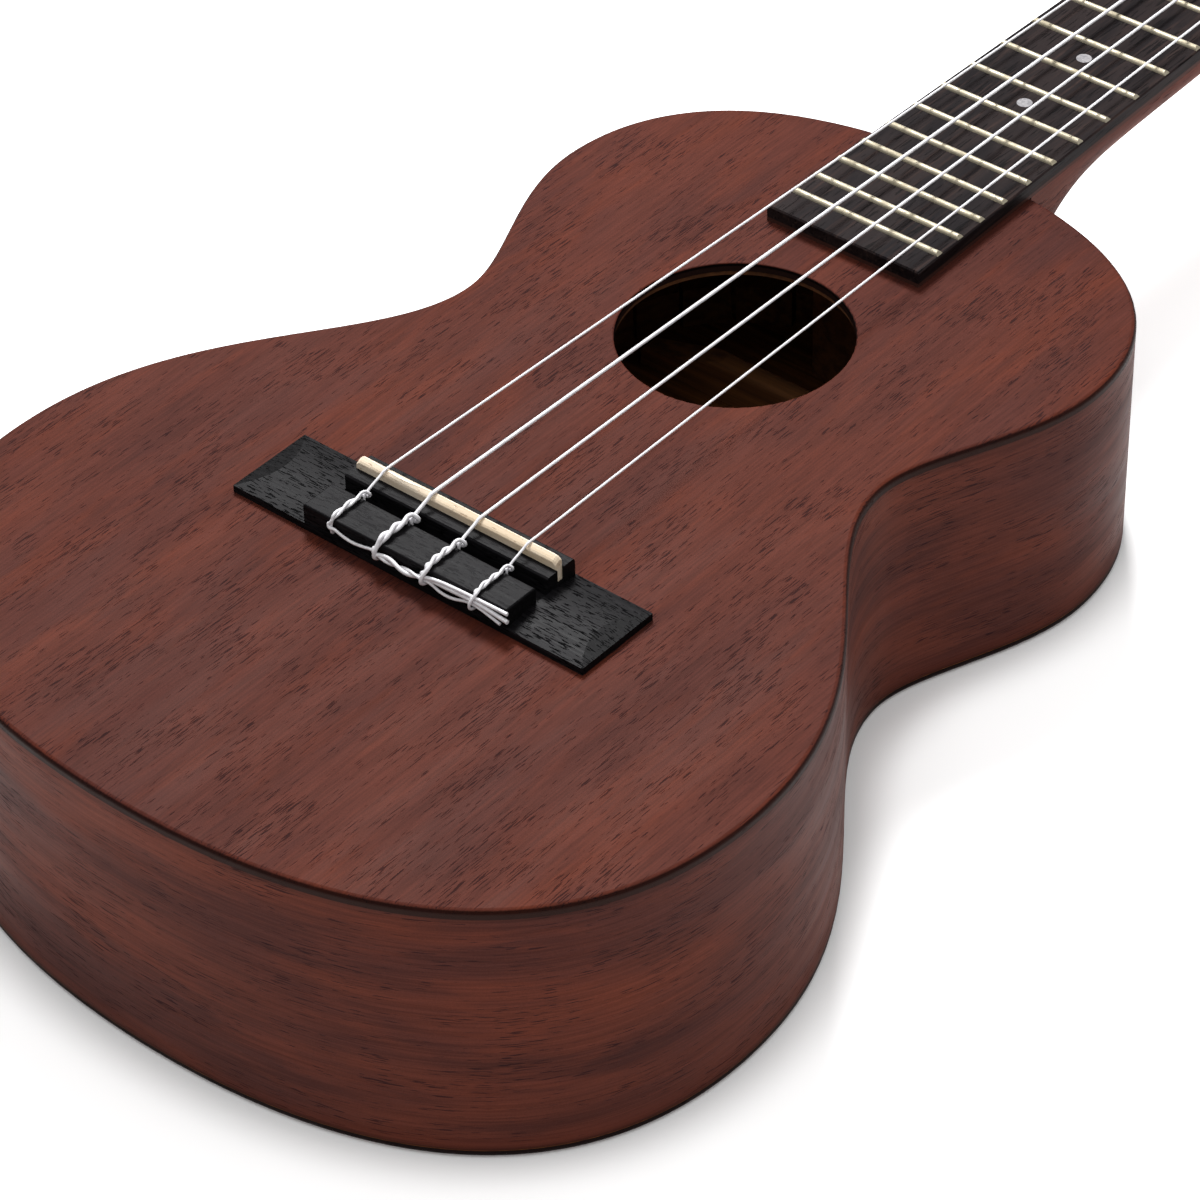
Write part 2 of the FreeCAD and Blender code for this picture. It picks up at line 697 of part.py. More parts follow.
# -------------------------------------------------------------- bridge
def make_bridge():
    """Tie-block bridge with crowned wings and a saddle slot."""
    base = wing_profile().extrude(Vec(2 * BRIDGE_HALF, 0, 0))
    for hand in (-1, 1):
        base = base.cut(above_facet(hand))
    middle = (-BLOCK_HALF, BLOCK_HALF)
    block = box(middle, BLOCK_Y, (0, BLOCK_TOP))
    top_rims = edges_where(block, lambda m: abs(m.z - BLOCK_TOP) < 0.01)
    block = block.makeFillet(0.5, top_rims)
    rails = rail_profile().extrude(Vec(2 * BLOCK_HALF, 0, 0))
    bridge = fuse([base, block, rails])
    channel = box(middle, (BLOCK_Y[1], RAILS_Y[0]), (CHANNEL_FLOOR, 20))
    slot = box((-60, 60), SADDLE_Y, (SLOT_FLOOR, 20))
    bridge = bridge.cut(channel).cut(slot)
    for entry in STRINGS:
        bridge = bridge.cut(string_tube(entry, GROOVE, knot_route(entry)))
    return one_solid(bridge)


def wing_profile():
    """End view of the base: flat underneath, its top crowned from front to rear."""
    start = -BRIDGE_HALF
    crown = Part.Arc(
        Vec(start, BRIDGE_REAR_Y, WING_EDGE),
        Vec(start, BRIDGE_REAR_Y / 2, WING_CROWN),
        Vec(start, 0, WING_EDGE),
    )
    sides = Part.makePolygon([
        Vec(start, 0, WING_EDGE),
        Vec(start, 0, 0),
        Vec(start, BRIDGE_REAR_Y, 0),
        Vec(start, BRIDGE_REAR_Y, WING_EDGE),
    ])
    return Part.Face(Part.Wire([crown.toShape()] + sides.Edges))


def above_facet(hand):
    """What is planed off one wing's crown, so that its tip thins to the edge's height."""
    start = hand * (BRIDGE_HALF - WING_FACET)
    tip = hand * BRIDGE_HALF
    slope = (WING_EDGE - WING_CROWN) / WING_FACET
    overrun = hand * 1.0
    corners = (
        Vec(start - overrun, 1, WING_CROWN - slope),
        Vec(tip + overrun, 1, WING_EDGE + slope),
        Vec(tip + overrun, 1, WING_CROWN + 1),
        Vec(start - overrun, 1, WING_CROWN + 1),
        Vec(start - overrun, 1, WING_CROWN - slope),
    )
    return Part.Face(Part.makePolygon(corners)).extrude(Vec(0, BRIDGE_REAR_Y - 2, 0))


def rail_profile():
    """End view of the saddle's rails, with softly broken edges."""
    rear = RAILS_Y[0]
    front = RAILS_Y[1]
    points = (
        (rear, 0.5),
        (rear, RAIL_TOP - 0.4),
        (rear + 0.4, RAIL_TOP),
        (front - 0.8, RAIL_TOP),
        (front - 0.3, RAIL_TOP - 0.25),
        (front, RAIL_TOP - 0.8),
        (front, 0.5),
        (rear, 0.5),
    )
    return Part.Face(Part.makePolygon([Vec(-BLOCK_HALF, y, z) for y, z in points]))


def make_saddle():
    saddle = box((-SADDLE_HALF, SADDLE_HALF), SADDLE_Y, (SLOT_FLOOR, SADDLE_TOP))
    crest = edges_where(saddle, lambda m: m.z > SADDLE_TOP - 0.1 and abs(m.x) < 1)
    return one_solid(saddle.makeFillet(SADDLE_CROWN, crest))


# ------------------------------------------------------------- strings
def head_point(x, u, w):
    """A headstock point in the working frame."""
    return head_frame().multVec(Vec(x, u, w))


def rounded_path(points):
    """Straight runs joined by tangent arcs, as large as the runs allow."""
    edges = []
    start = points[0]
    for before, corner, after in zip(points, points[1:], points[2:]):
        back = before.sub(corner)
        ahead = after.sub(corner)
        turn = math.pi - back.getAngle(ahead)
        if turn < 0.001:
            continue
        reach = 0.45 * min(back.Length, ahead.Length)
        back.normalize()
        ahead.normalize()
        radius = reach / math.tan(turn / 2)
        bisector = back.add(ahead).normalize()
        middle = corner + bisector * (radius / math.cos(turn / 2) - radius)
        arc = Part.Arc(corner + back * reach, middle, corner + ahead * reach)
        edges.append(Part.LineSegment(start, arc.StartPoint).toShape())
        edges.append(arc.toShape())
        start = arc.EndPoint
    edges.append(Part.LineSegment(start, points[-1]).toShape())
    return Part.Wire(edges)


def tube(points, radius):
    """A round tube along a rounded path."""
    path = rounded_path(points)
    direction = points[1].sub(points[0])
    ring = Part.Wire(Part.makeCircle(radius, points[0], direction))
    return path.makePipeShell([ring], True, False)


def tangent_end(entry):
    """Where a string stops, just before the coil on its post."""
    _, radius, _, nut_x, row, _ = entry
    hand = math.copysign(1, nut_x)
    centre = Vec(hand * POST_X, POST_U[row], 0)
    nut = Vec(nut_x, -NUT_LENGTH / 2, 0)
    coil = POST_R + radius
    run = centre.sub(nut)
    swing = hand * math.asin(coil / run.Length)
    heading = math.atan2(run.y, run.x) + swing
    length = math.sqrt(run.Length ** 2 - coil ** 2) - STRING_END_GAP
    return Vec(nut.x + length * math.cos(heading), nut.y + length * math.sin(heading), 0)


def speaking_route(entry):
    """The string from its post to the saddle and the tie block's edge."""
    _, radius, saddle_x, nut_x, row, _ = entry
    end = tangent_end(entry)
    saddle_mid = (SADDLE_Y[0] + SADDLE_Y[1]) / 2
    return [
        head_point(end.x, end.y, COIL_W + 1.5),
        Vec(nut_x, SCALE + NUT_LENGTH / 2, NUT_TOP),
        Vec(nut_x + (saddle_x - nut_x) * 0.02, SCALE - 8, NUT_TOP + 0.05),
        Vec(saddle_x, saddle_mid + 3, SADDLE_TOP + radius + 0.1),
        Vec(saddle_x, saddle_mid - 1.0, SADDLE_TOP + radius + 0.06),
        Vec(saddle_x, BLOCK_Y[1] + 1.3 + radius, BLOCK_TOP + 0.55),
    ]


def knot_route(entry):
    """From the tie block's edge through its hole, and round its loop."""
    _, radius, x, _, _, tail_z = entry
    front = BLOCK_Y[1]
    rear = BLOCK_Y[0]
    beside = radius + 0.05
    hook = 2 * radius + 0.1
    top = BLOCK_TOP + radius + 0.05
    outside = rear - 2.6 - radius
    edge = Vec(x, front + 1.3 + radius, BLOCK_TOP + 0.55)
    points = [
        edge,
        Vec(x, front + 0.25 + radius, TIE_HOLE_Z + 2.2),
        Vec(x, front - 2.2, TIE_HOLE_Z),
        Vec(x, rear - 0.9, TIE_HOLE_Z),
        Vec(x + beside, outside, TIE_HOLE_Z + 1.2),
        Vec(x + beside, outside, top - 0.6),
        Vec(x + beside, rear + 0.9, top + 0.15),
        Vec(x + beside, front - 1.4, top),
        edge + Vec(hook, -0.2, -0.2),
        edge + Vec(hook * 0.7, 0.5, -hook),
        edge + Vec(-hook * 0.7, 0.5, -hook),
        edge + Vec(-hook, -0.2, -0.2),
        Vec(x - beside, front - 1.4, top),
        Vec(x - beside, rear + 0.9, top),
    ]
    if tail_z is None:
        return points
    return points + [
        Vec(x - beside, rear - 0.35 - radius, top - 1.0),
        Vec(x + 0.6, rear - 0.15 - radius, tail_z),
        Vec(x + 4.0, rear - 0.12 - radius, tail_z),
        Vec(TAIL_END_X, rear - 0.4 - radius, tail_z - 0.2),
    ]


def string_route(entry):
    """The whole route: speaking length, tie hole, loop and tail."""
    return speaking_route(entry)[:-1] + knot_route(entry)


def string_tube(entry, extra, route):
    return tube(route, entry[1] + extra)


# -------------------------------------------------------------- tuners
def wheel_profile(angle):
    """Outline of the worm wheel's teeth, turned by an angle."""
    outer = WHEEL_R + ADDENDUM
    root = WHEEL_R - DEDENDUM
    thick = WORM_PITCH / 2 - TOOTH_PLAY / 2
    slope = math.tan(math.radians(FLANK))
    tip_half = thick / 2 - ADDENDUM * slope - 0.05
    root_half = thick / 2 + DEDENDUM * slope * 0.55
    points = []
    for tooth in range(TEETH):
        centre = angle + 2 * math.pi * (tooth + 0.5) / TEETH
        corners = (
            (root, -root_half / root),
            (WHEEL_R, -thick / 2 / WHEEL_R),
            (outer, -tip_half / outer),
            (outer, tip_half / outer),
            (WHEEL_R, thick / 2 / WHEEL_R),
            (root, root_half / root),
        )
        for radius, spread in corners:
            turn = math.pi / 2 + centre + spread
            points.append(Vec(radius * math.cos(turn), radius * math.sin(turn), 0))
    points.append(points[0])
    return points


def worm_wheel():
    """Slanted-tooth wheel, centred on its own middle plane."""
    lead = WORM_PITCH / (2 * math.pi * WORM_R)
    twist = lead / WHEEL_R * WHEEL_WIDTH / 2
    wires = []
    for end in (-1, 1):
        points = wheel_profile(end * twist)
        wires.append(Part.makePolygon([p + UP * (end * WHEEL_WIDTH / 2) for p in points]))
    wheel = Part.makeLoft(wires, True, True)
    bore = cylinder(WHEEL_HUB_R, Vec(0, 0, -WHEEL_WIDTH), Vec(0, 0, WHEEL_WIDTH))
    return one_solid(wheel.cut(bore))


def worm(length):
    """Threaded part of the shaft, along x, with a crest at its middle."""
    root = SHAFT_R - 0.15
    tip = WORM_R + ADDENDUM
    thick = WORM_PITCH / 2 - TOOTH_PLAY / 2
    slope = math.tan(math.radians(FLANK))
    tip_half = thick / 2 - ADDENDUM * slope
    root_half = thick / 2 + (WORM_R - root) * slope
    turns = math.ceil(length / WORM_PITCH) + 2
    span = turns * WORM_PITCH
    helix = Part.makeHelix(WORM_PITCH, span, WORM_R)
    profile = Part.makePolygon([
        Vec(root, 0, -root_half),
        Vec(tip, 0, -tip_half),
        Vec(tip, 0, tip_half),
        Vec(root, 0, root_half),
        Vec(root, 0, -root_half),
    ])
    thread = Part.Wire(helix.Edges).makePipeShell([profile], True, True)
    core = Part.makeCylinder(SHAFT_R, span + 2, Vec(0, 0, -1))
    keep = Part.makeCylinder(tip + 1, length, Vec(0, 0, (span - length) / 2))
    screw = one_solid(thread.fuse(core).common(keep))
    screw.translate(Vec(0, 0, -span / 2))
    screw.rotate(Vec(), UP, 90 - 180 * turns)
    screw.rotate(Vec(), ALONG, 90)
    return screw


def make_tuner_plate(hand, u):
    """Base plate with two bearing tabs for the worm shaft."""
    x = hand * POST_X
    worm_u = u + WORM_OFFSET
    low = HEAD_BACK_W - PLATE_THICK
    x_range = (x + PLATE_X[0], x + PLATE_X[1])
    plate = box(x_range, (worm_u - 11, u + 13), (low, HEAD_BACK_W))
    corners = edges_where(plate, lambda m: abs(m.z - (low + HEAD_BACK_W) / 2) < 0.01)
    plate = plate.makeFillet(2.5, corners)
    tab_low = GEAR_W - TAB_WIDTH / 2
    pieces = [plate]
    inner = WORM_LENGTH / 2 + TAB_GAP
    for end in (-1, 1):
        face = sorted((x + end * inner, x + end * (inner + TAB_THICK)))
        tab = box(face, (worm_u - TAB_WIDTH / 2, worm_u + TAB_WIDTH / 2), (tab_low, low + 0.01))
        rims = edges_where(tab, lambda m: abs(m.z - tab_low) < 0.01 and abs(m.y - worm_u) > 1)
        pieces.append(tab.makeFillet(2.0, rims))
    plate = fuse(pieces)
    bearing = cylinder(SHAFT_R + RUNNING, Vec(x - 20, worm_u, GEAR_W), Vec(x + 20, worm_u, GEAR_W))
    post = cylinder(POST_R + RUNNING, Vec(x, u, low - 1), Vec(x, u, HEAD_BACK_W + 1))
    holes = [bearing, post]
    for screw_u in screw_places(u):
        holes.append(cylinder(SCREW_R + 0.05, Vec(x, screw_u, low - 1), Vec(x, screw_u, HEAD_BACK_W + 1)))
    return on_head(one_solid(plate.cut(Part.makeCompound(holes))))


def screw_places(u):
    return (u + WORM_OFFSET - 7.5, u + 9.8)


def screw_shanks():
    """Wood screws' shanks, which also bore their holes."""
    shanks = []
    low = HEAD_BACK_W - PLATE_THICK
    for hand in (-1, 1):
        for u in POST_U:
            for screw_u in screw_places(u):
                start = Vec(hand * POST_X, screw_u, low)
                shanks.append(cylinder(SCREW_R, start, start + UP * SCREW_LENGTH))
    return Part.makeCompound(shanks)


def make_plate_screws():
    screws = []
    for shank in screw_shanks().Solids:
        middle = shank.CenterOfMass
        seat = HEAD_BACK_W - PLATE_THICK
        foot = Vec(middle.x, middle.y, seat - SCREW_HEAD[1])
        head = Part.makeCylinder(SCREW_HEAD[0], SCREW_HEAD[1], foot)
        rim = edges_where(head, lambda m: m.z < seat - SCREW_HEAD[1] + 0.01)
        head = head.makeFillet(0.5, rim)
        slot_y = (middle.y - 0.3, middle.y + 0.3)
        slot = box((middle.x - 3, middle.x + 3), slot_y, (foot.z - 1, foot.z + 0.5))
        screws.append(one_solid(head.fuse(shank).cut(slot)))
    return on_head(Part.makeCompound(screws))


def make_bushings():
    rings = []
    for hand in (-1, 1):
        for u in POST_U:
            foot = Vec(hand * POST_X, u, -BUSHING_DEPTH)
            sleeve = Part.makeCylinder(BUSHING_R, BUSHING_DEPTH + 0.5, foot)
            flange = Part.makeCylinder(BUSHING_FLANGE[0], BUSHING_FLANGE[1], Vec(foot.x, u, 0))
            rim = edges_where(flange, lambda m: m.z > BUSHING_FLANGE[1] - 0.01)
            flange = flange.makeFillet(0.4, rim)
            bore = Part.makeCylinder(POST_R + RUNNING, 30, foot - UP * 5)
            rings.append(one_solid(sleeve.fuse(flange).cut(bore)))
    return on_head(Part.makeCompound(rings))


def make_post(hand, u):
    """String post, with a rounded top, a cross hole and a stepped lower end."""
    centre = Vec(hand * POST_X, u, 0)
    barrel = Part.makeCylinder(POST_R, POST_TOP - WHEEL_TOP_W, centre + UP * WHEEL_TOP_W)
    rim = edges_where(barrel, lambda m: m.z > POST_TOP - 0.01)
    barrel = barrel.makeFillet(0.8, rim)
    stub = Part.makeCylinder(WHEEL_HUB_R, WHEEL_WIDTH + 0.5, centre + UP * (WHEEL_TOP_W - WHEEL_WIDTH))
    post = fuse([barrel, stub])
    hole = Part.makeCylinder(POST_HOLE_R, 20, centre + Vec(-10, 0, POST_HOLE_W), ACROSS)
    thread = Part.makeCylinder(GEAR_SCREW_R, 4, centre + UP * (WHEEL_TOP_W - WHEEL_WIDTH))
    return on_head(one_solid(post.cut(hole).cut(thread)))


def make_gear_screw(hand, u):
    """Screw that holds the wheel on its post."""
    seat = Vec(hand * POST_X, u, WHEEL_TOP_W - WHEEL_WIDTH)
    head = Part.makeCylinder(3.0, 1.3, seat - UP * 1.3)
    rim = edges_where(head, lambda m: m.z < seat.z - 1.29)
    head = head.makeFillet(0.5, rim)
    shank = Part.makeCylinder(GEAR_SCREW_R, 3.5, seat - UP * 0.1)
    slot = box((seat.x - 4, seat.x + 4), (u - 0.35, u + 0.35), (seat.z - 2, seat.z - 0.8))
    return on_head(one_solid(head.fuse(shank).cut(slot)))


def make_wheel(hand, u):
    wheel = worm_wheel()
    wheel.translate(Vec(hand * POST_X, u, GEAR_W))
    return on_head(wheel)


def make_worm_shaft(hand, u):
    """Worm, its journals and the end that carries the button."""
    place = Vec(hand * POST_X, u + WORM_OFFSET, GEAR_W)
    thread = worm(WORM_LENGTH)
    thread.translate(place)
    inner = place - ACROSS * (hand * (WORM_LENGTH / 2 + TAB_GAP + TAB_THICK + 0.8))
    outer = Vec(hand * (HEAD_HALF_FLARE + BUTTON_GAP + BUTTON_COLLAR[1] + 6), place.y, place.z)
    return on_head(fuse([thread, cylinder(SHAFT_R, inner, outer)]))


def make_button(hand, u):
    """Flat rounded thumb button with a collar, bored for its shaft."""
    start = HEAD_HALF_FLARE + BUTTON_GAP
    centre = Vec(0, u + WORM_OFFSET, GEAR_W)
    inner = start + BUTTON_COLLAR[1]
    collar = cylinder(BUTTON_COLLAR[0], centre + ACROSS * start, centre + ACROSS * (inner + 2))
    paddle = box(
        (inner, inner + BUTTON[0]),
        (centre.y - BUTTON[1] / 2, centre.y + BUTTON[1] / 2),
        (GEAR_W - BUTTON[2] / 2, GEAR_W + BUTTON[2] / 2),
    )
    upright = edges_where(paddle, lambda m: abs(m.z - GEAR_W) < 0.01)
    paddle = paddle.makeFillet(4.5, upright)
    rims = edges_where(paddle, lambda m: abs(m.z - GEAR_W) > 0.01)
    paddle = paddle.makeFillet(1.8, rims)
    bore = cylinder(SHAFT_R, centre, centre + ACROSS * (start + BUTTON_COLLAR[1] + 6))
    button = one_solid(collar.fuse(paddle).cut(bore))
    if hand < 0:
        button = button.mirror(Vec(), ACROSS)
    return on_head(button)


def make_coil(entry):
    """Turns of string on its post, with the cut end through the post."""
    _, radius, _, nut_x, row, _ = entry
    hand = math.copysign(1, nut_x)
    centre = Vec(hand * POST_X, POST_U[row], 0)
    pitch = 2 * radius + 0.06
    around = POST_R + radius + 0.1
    points = []
    for step in range(int(COIL_TURNS * COIL_STEPS) + 1):
        turn = 2 * math.pi * step / COIL_STEPS
        rise = COIL_W + pitch * step / COIL_STEPS
        points.append(centre + Vec(around * math.cos(turn), around * math.sin(turn), rise))
    reach = POST_R + 3.0
    stub = cylinder(radius, centre + Vec(-reach, 0, POST_HOLE_W), centre + Vec(reach, 0, POST_HOLE_W))
    return on_head(Part.makeCompound([tube(points, radius), stub]))


# ----------------------------------------------------------------- all
def build_body():
    export("soundboard", make_soundboard())
    export("back_plate", make_back_plate())
    export("neck_block", make_neck_block())
    export("tail_block", make_tail_block())
    for hand, label in ((-1, "bass"), (1, "treble")):
        export("side_" + label, make_side(hand))
        export("top_lining_" + label, make_lining(hand, False))
        export("back_lining_" + label, make_lining(hand, True))
    for name, y in SOUNDBOARD_BRACE_Y.items():
        export(name, make_face_brace(y))
    export("fan_braces", make_fan_braces())
    export("bridge_patch", bridge_patch())
    export("soundhole_ring", make_soundhole_ring())
    export("back_braces", make_back_braces())
    export("back_strip", one_solid(back_strip()))
    export("neck_dowels", Part.makeCompound(dowels()))


def build_neck():
    export("neck", make_neck())
    export("headstock_veneer", make_headstock_veneer())
    export("fretboard", make_fretboard())
    export("frets", make_frets())
    export("position_dots", Part.makeCompound(dots()))
    export("nut", make_nut())


def build_strings():
    export("bridge", make_bridge())
    export("saddle", make_saddle())
    for entry in STRINGS:
        export("string_" + entry[0], string_tube(entry, 0, string_route(entry)))


def build_tuners():
    export("post_bushings", make_bushings())
    export("plate_screws", make_plate_screws())
    for entry in STRINGS:
        name = entry[0]
        hand = math.copysign(1, entry[3])
        u = POST_U[entry[4]]
        export("tuner_plate_" + name, make_tuner_plate(hand, u))
        export("string_post_" + name, make_post(hand, u))
        export("worm_wheel_" + name, make_wheel(hand, u))
        export("wheel_screw_" + name, make_gear_screw(hand, u))
        export("worm_shaft_" + name, make_worm_shaft(hand, u))
        export("tuner_button_" + name, make_button(hand, u))
        export("string_coil_" + name, make_coil(entry))


os.makedirs("parts", exist_ok=True)
build_body()
build_neck()
build_strings()
build_tuners()
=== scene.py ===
import json
import math

import bpy
from mathutils import Matrix, Vector


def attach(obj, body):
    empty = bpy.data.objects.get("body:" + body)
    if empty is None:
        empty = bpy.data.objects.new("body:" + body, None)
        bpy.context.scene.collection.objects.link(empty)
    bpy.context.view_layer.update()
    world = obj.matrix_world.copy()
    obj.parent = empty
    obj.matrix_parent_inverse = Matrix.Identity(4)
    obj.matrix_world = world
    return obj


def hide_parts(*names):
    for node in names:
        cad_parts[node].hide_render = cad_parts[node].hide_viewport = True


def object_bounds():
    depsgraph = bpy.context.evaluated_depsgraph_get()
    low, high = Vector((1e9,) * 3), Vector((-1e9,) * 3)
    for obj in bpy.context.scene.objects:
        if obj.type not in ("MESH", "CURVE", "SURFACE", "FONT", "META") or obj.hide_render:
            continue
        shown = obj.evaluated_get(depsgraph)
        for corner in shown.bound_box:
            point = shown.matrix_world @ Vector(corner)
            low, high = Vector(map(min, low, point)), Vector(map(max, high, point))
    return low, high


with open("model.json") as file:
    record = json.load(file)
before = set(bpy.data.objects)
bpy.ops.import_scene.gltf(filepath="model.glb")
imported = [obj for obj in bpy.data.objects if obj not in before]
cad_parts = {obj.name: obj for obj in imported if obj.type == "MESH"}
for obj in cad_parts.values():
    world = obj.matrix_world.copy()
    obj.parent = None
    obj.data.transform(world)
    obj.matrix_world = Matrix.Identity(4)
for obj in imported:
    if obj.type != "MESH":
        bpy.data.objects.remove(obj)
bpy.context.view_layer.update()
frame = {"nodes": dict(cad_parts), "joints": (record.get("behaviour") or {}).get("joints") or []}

# A tenor ukulele: materials for its CAD pieces, and finer strings, coils and saddle in place of
# the plain ones. Lengths are in millimetres unless a comment says otherwise.
MM = 0.001
JOINTS = {joint["name"]: joint for joint in frame["joints"]}


def tint(red, green, blue):
    """A screen colour, 0 to 255, as the linear colour that shaders use."""
    channels = [((c / 255 + 0.055) / 1.055) ** 2.4 if c > 10 else c / 3295 for c in (red, green, blue)]
    return (*channels, 1)


# ------------------------------------------------------- board frame
# Places on and over the soundboard are given in the board's own frame: x across, y along the neck
# from the bridge's front edge, z up from the soundboard.
def board_frame():
    """Matrix from that frame to the row frame, read off the bridge and the soundboard."""
    top = frame["nodes"]["soundboard"].data
    upward = [face for face in top.polygons if face.normal.z > 0.9]
    up = max(upward, key=lambda face: face.area).normal.normalized()
    along = Vector((1, 0, 0)).cross(up) * -1
    foot = min((v.co for v in frame["nodes"]["bridge"].data.vertices), key=lambda co: co.z)
    turn = Matrix((Vector((1, 0, 0)), along, up)).transposed().to_4x4()
    return Matrix.Translation((0, foot.y, foot.z)) @ turn @ Matrix.Scale(MM, 4)


BOARD = board_frame()

# The bridge's tie block
BLOCK_FRONT = -14.5
BLOCK_REAR = -24.9
BLOCK_TOP = 7.3
TIE_HOLE = 3.3                 # height of the holes that the strings run back through
WING_TOP = 6.4                 # higher than the wings, lower than the block and the rails

# The saddle
SADDLE_REAR = -6.75
SADDLE_FRONT = -4.45
SADDLE_HALF = 31.0
SADDLE_FOOT = 3.4
SADDLE_TOP = 10.2
SADDLE_STATIONS = 124
SADDLE_END = 1.1               # how far from each end its top starts to round down
SHOULDER_DROP = 1.05           # from its ridge down to its rear edge
RIDGE_SETBACK = 0.55           # from its front face back to its ridge
HUMP_X = -17.2                 # where the ridge wanders a further HUMP back, beside the g string
HUMP = 1.0
HUMP_WIDTH = 6.5

# The soundhole, and the string's path past the nut
HOLE_CENTRE = Vector((0, 98.8, 0))
HOLE_RADIUS = 30.2
NUT_MIDDLE = 432.25
NUT_TOP = 6.1

# The coils, over the headstock's face
POST_R = 3.0
POST_HOLE = 8.6                # height of the cross hole
COIL_START = 4.6               # height at which the string comes in
COIL_TURNS = 3
COIL_STEPS = 12                # control points in a turn
COIL_GAP = 0.08                # between post and string
TURN_GAP = 0.05                # between one turn and the next

# The strings
STRINGS = {                    # radius, x at the saddle, x at the nut
    "g": (0.34, -22.2, -13.9),
    "c": (0.48, -7.4, -4.65),
    "e": (0.41, 7.4, 4.65),
    "a": (0.32, 22.2, 13.9),
}
TWISTS = {"g": 1.0, "c": 1.0, "e": 1.25, "a": 1.25}  # turns of each loop across the block
BINDS = {"g": 0.5, "c": 1.9, "e": 2.3, "a": 2.2}     # how far each riser stands out behind the block
TWIST_STEPS = 8                # control points in a turn of a loop or a tail
SQUASH = 1.14                  # how much thicker the string is from where it is tied
TAIL_END = 33.0                # x of the longest cut end


# --------------------------------------------------------- materials
class Finish:
    """One node material, built up by short calls. Noise scales are per metre of the piece's space."""

    def __init__(self, name):
        self.material = bpy.data.materials.new(name)
        self.material.use_nodes = True
        self.tree = self.material.node_tree
        self.tree.nodes.clear()
        self.surface = self.tree.nodes.new("ShaderNodeBsdfPrincipled")
        output = self.tree.nodes.new("ShaderNodeOutputMaterial")
        self.tree.links.new(self.surface.outputs[0], output.inputs["Surface"])
        self.place = self.tree.nodes.new("ShaderNodeTexCoord").outputs["Object"]

    def node(self, kind, inputs=(), **settings):
        made = self.tree.nodes.new("ShaderNode" + kind)
        for key, value in settings.items():
            setattr(made, key, value)
        for key, value in dict(inputs).items():
            self.put(made.inputs[key], value)
        return made

    def put(self, socket, value):
        """Links a node's output to a socket, or sets the socket to a constant."""
        if isinstance(value, bpy.types.NodeSocket):
            self.tree.links.new(value, socket)
        else:
            socket.default_value = value

    def set(self, **inputs):
        """Sets inputs of the surface shader, with underscores for the spaces in their names."""
        for key, value in inputs.items():
            self.put(self.surface.inputs[key.replace("_", " ")], value)

    def stretched(self, x=1.0, y=1.0, z=1.0, shift=0.0):
        """The piece's own space, squeezed along each axis and moved along all three."""
        inputs = {0: self.place, 1: (shift, shift, shift), 3: (x, y, z)}
        return self.node("Mapping", inputs).outputs[0]

    def noise(self, where, scale, detail=2.0, roughness=0.5, distortion=0.0):
        inputs = {"Vector": where, "Scale": scale, "Detail": detail,
                  "Roughness": roughness, "Distortion": distortion}
        return self.node("TexNoise", inputs).outputs[0]

    def ramp(self, value, low, high, start=0.0, end=1.0):
        """The value start below low, end above high, and a smooth change between them."""
        inputs = {0: value, 1: low, 2: high, 3: start, 4: end}
        return self.node("MapRange", inputs, interpolation_type="SMOOTHSTEP").outputs[0]

    def maths(self, kind, first, second=0.0):
        return self.node("Math", {0: first, 1: second}, operation=kind).outputs[0]

    def times(self, first, second):
        return self.maths("MULTIPLY", first, second)

    def plus(self, first, second):
        return self.maths("ADD", first, second)

    def mix(self, amount, first, second, kind="MIX"):
        made = self.node("Mix", data_type="RGBA", blend_type=kind)
        self.put(made.inputs[0], amount)
        self.put(made.inputs[6], first)
        self.put(made.inputs[7], second)
        return made.outputs[2]

    def axis(self, where, name):
        return self.node("SeparateXYZ", {0: where}).outputs[name]

    def bump(self, height, depth, under=None):
        """Raises the surface by depth millimetres where height is 1."""
        made = self.node("Bump", {"Height": height, "Distance": depth * MM, "Strength": 1.0})
        if under is not None:
            self.put(made.inputs["Normal"], under)
        return made.outputs[0]


def grain(finish, along, stretch, shift=0.0):
    """The piece's space squeezed along the grain: along the body, round its rim or across it."""
    squeezed = {
        "body": (1, stretch, 1),
        "rim": (stretch, stretch, 1),
        "across": (stretch, 1, 1),
    }[along]
    return finish.stretched(*squeezed, shift=shift)


def height_over(finish, normal, level):
    """Millimetres over a plane that lies level metres along a normal."""
    along = finish.node("VectorMath", {0: finish.place, 1: tuple(normal)}, operation="DOT_PRODUCT")
    return finish.times(finish.maths("SUBTRACT", along.outputs["Value"], level), 1 / MM)


def board_height(finish):
    """Millimetres over the soundboard's plane."""
    up = (BOARD.to_3x3() @ Vector((0, 0, 1))).normalized()
    return height_over(finish, up, BOARD.translation.dot(up))


def ground_height(finish):
    """Millimetres over the plane that the back lies on."""
    return finish.times(finish.axis(finish.place, "Z"), 1 / MM)


def shaded(finish, colour, *shades):
    """A colour multiplied by grey values."""
    for shade in shades:
        grey = finish.node("CombineXYZ", {0: shade, 1: shade, 2: shade}).outputs[0]
        colour = finish.mix(1.0, colour, grey, "MULTIPLY")
    return colour


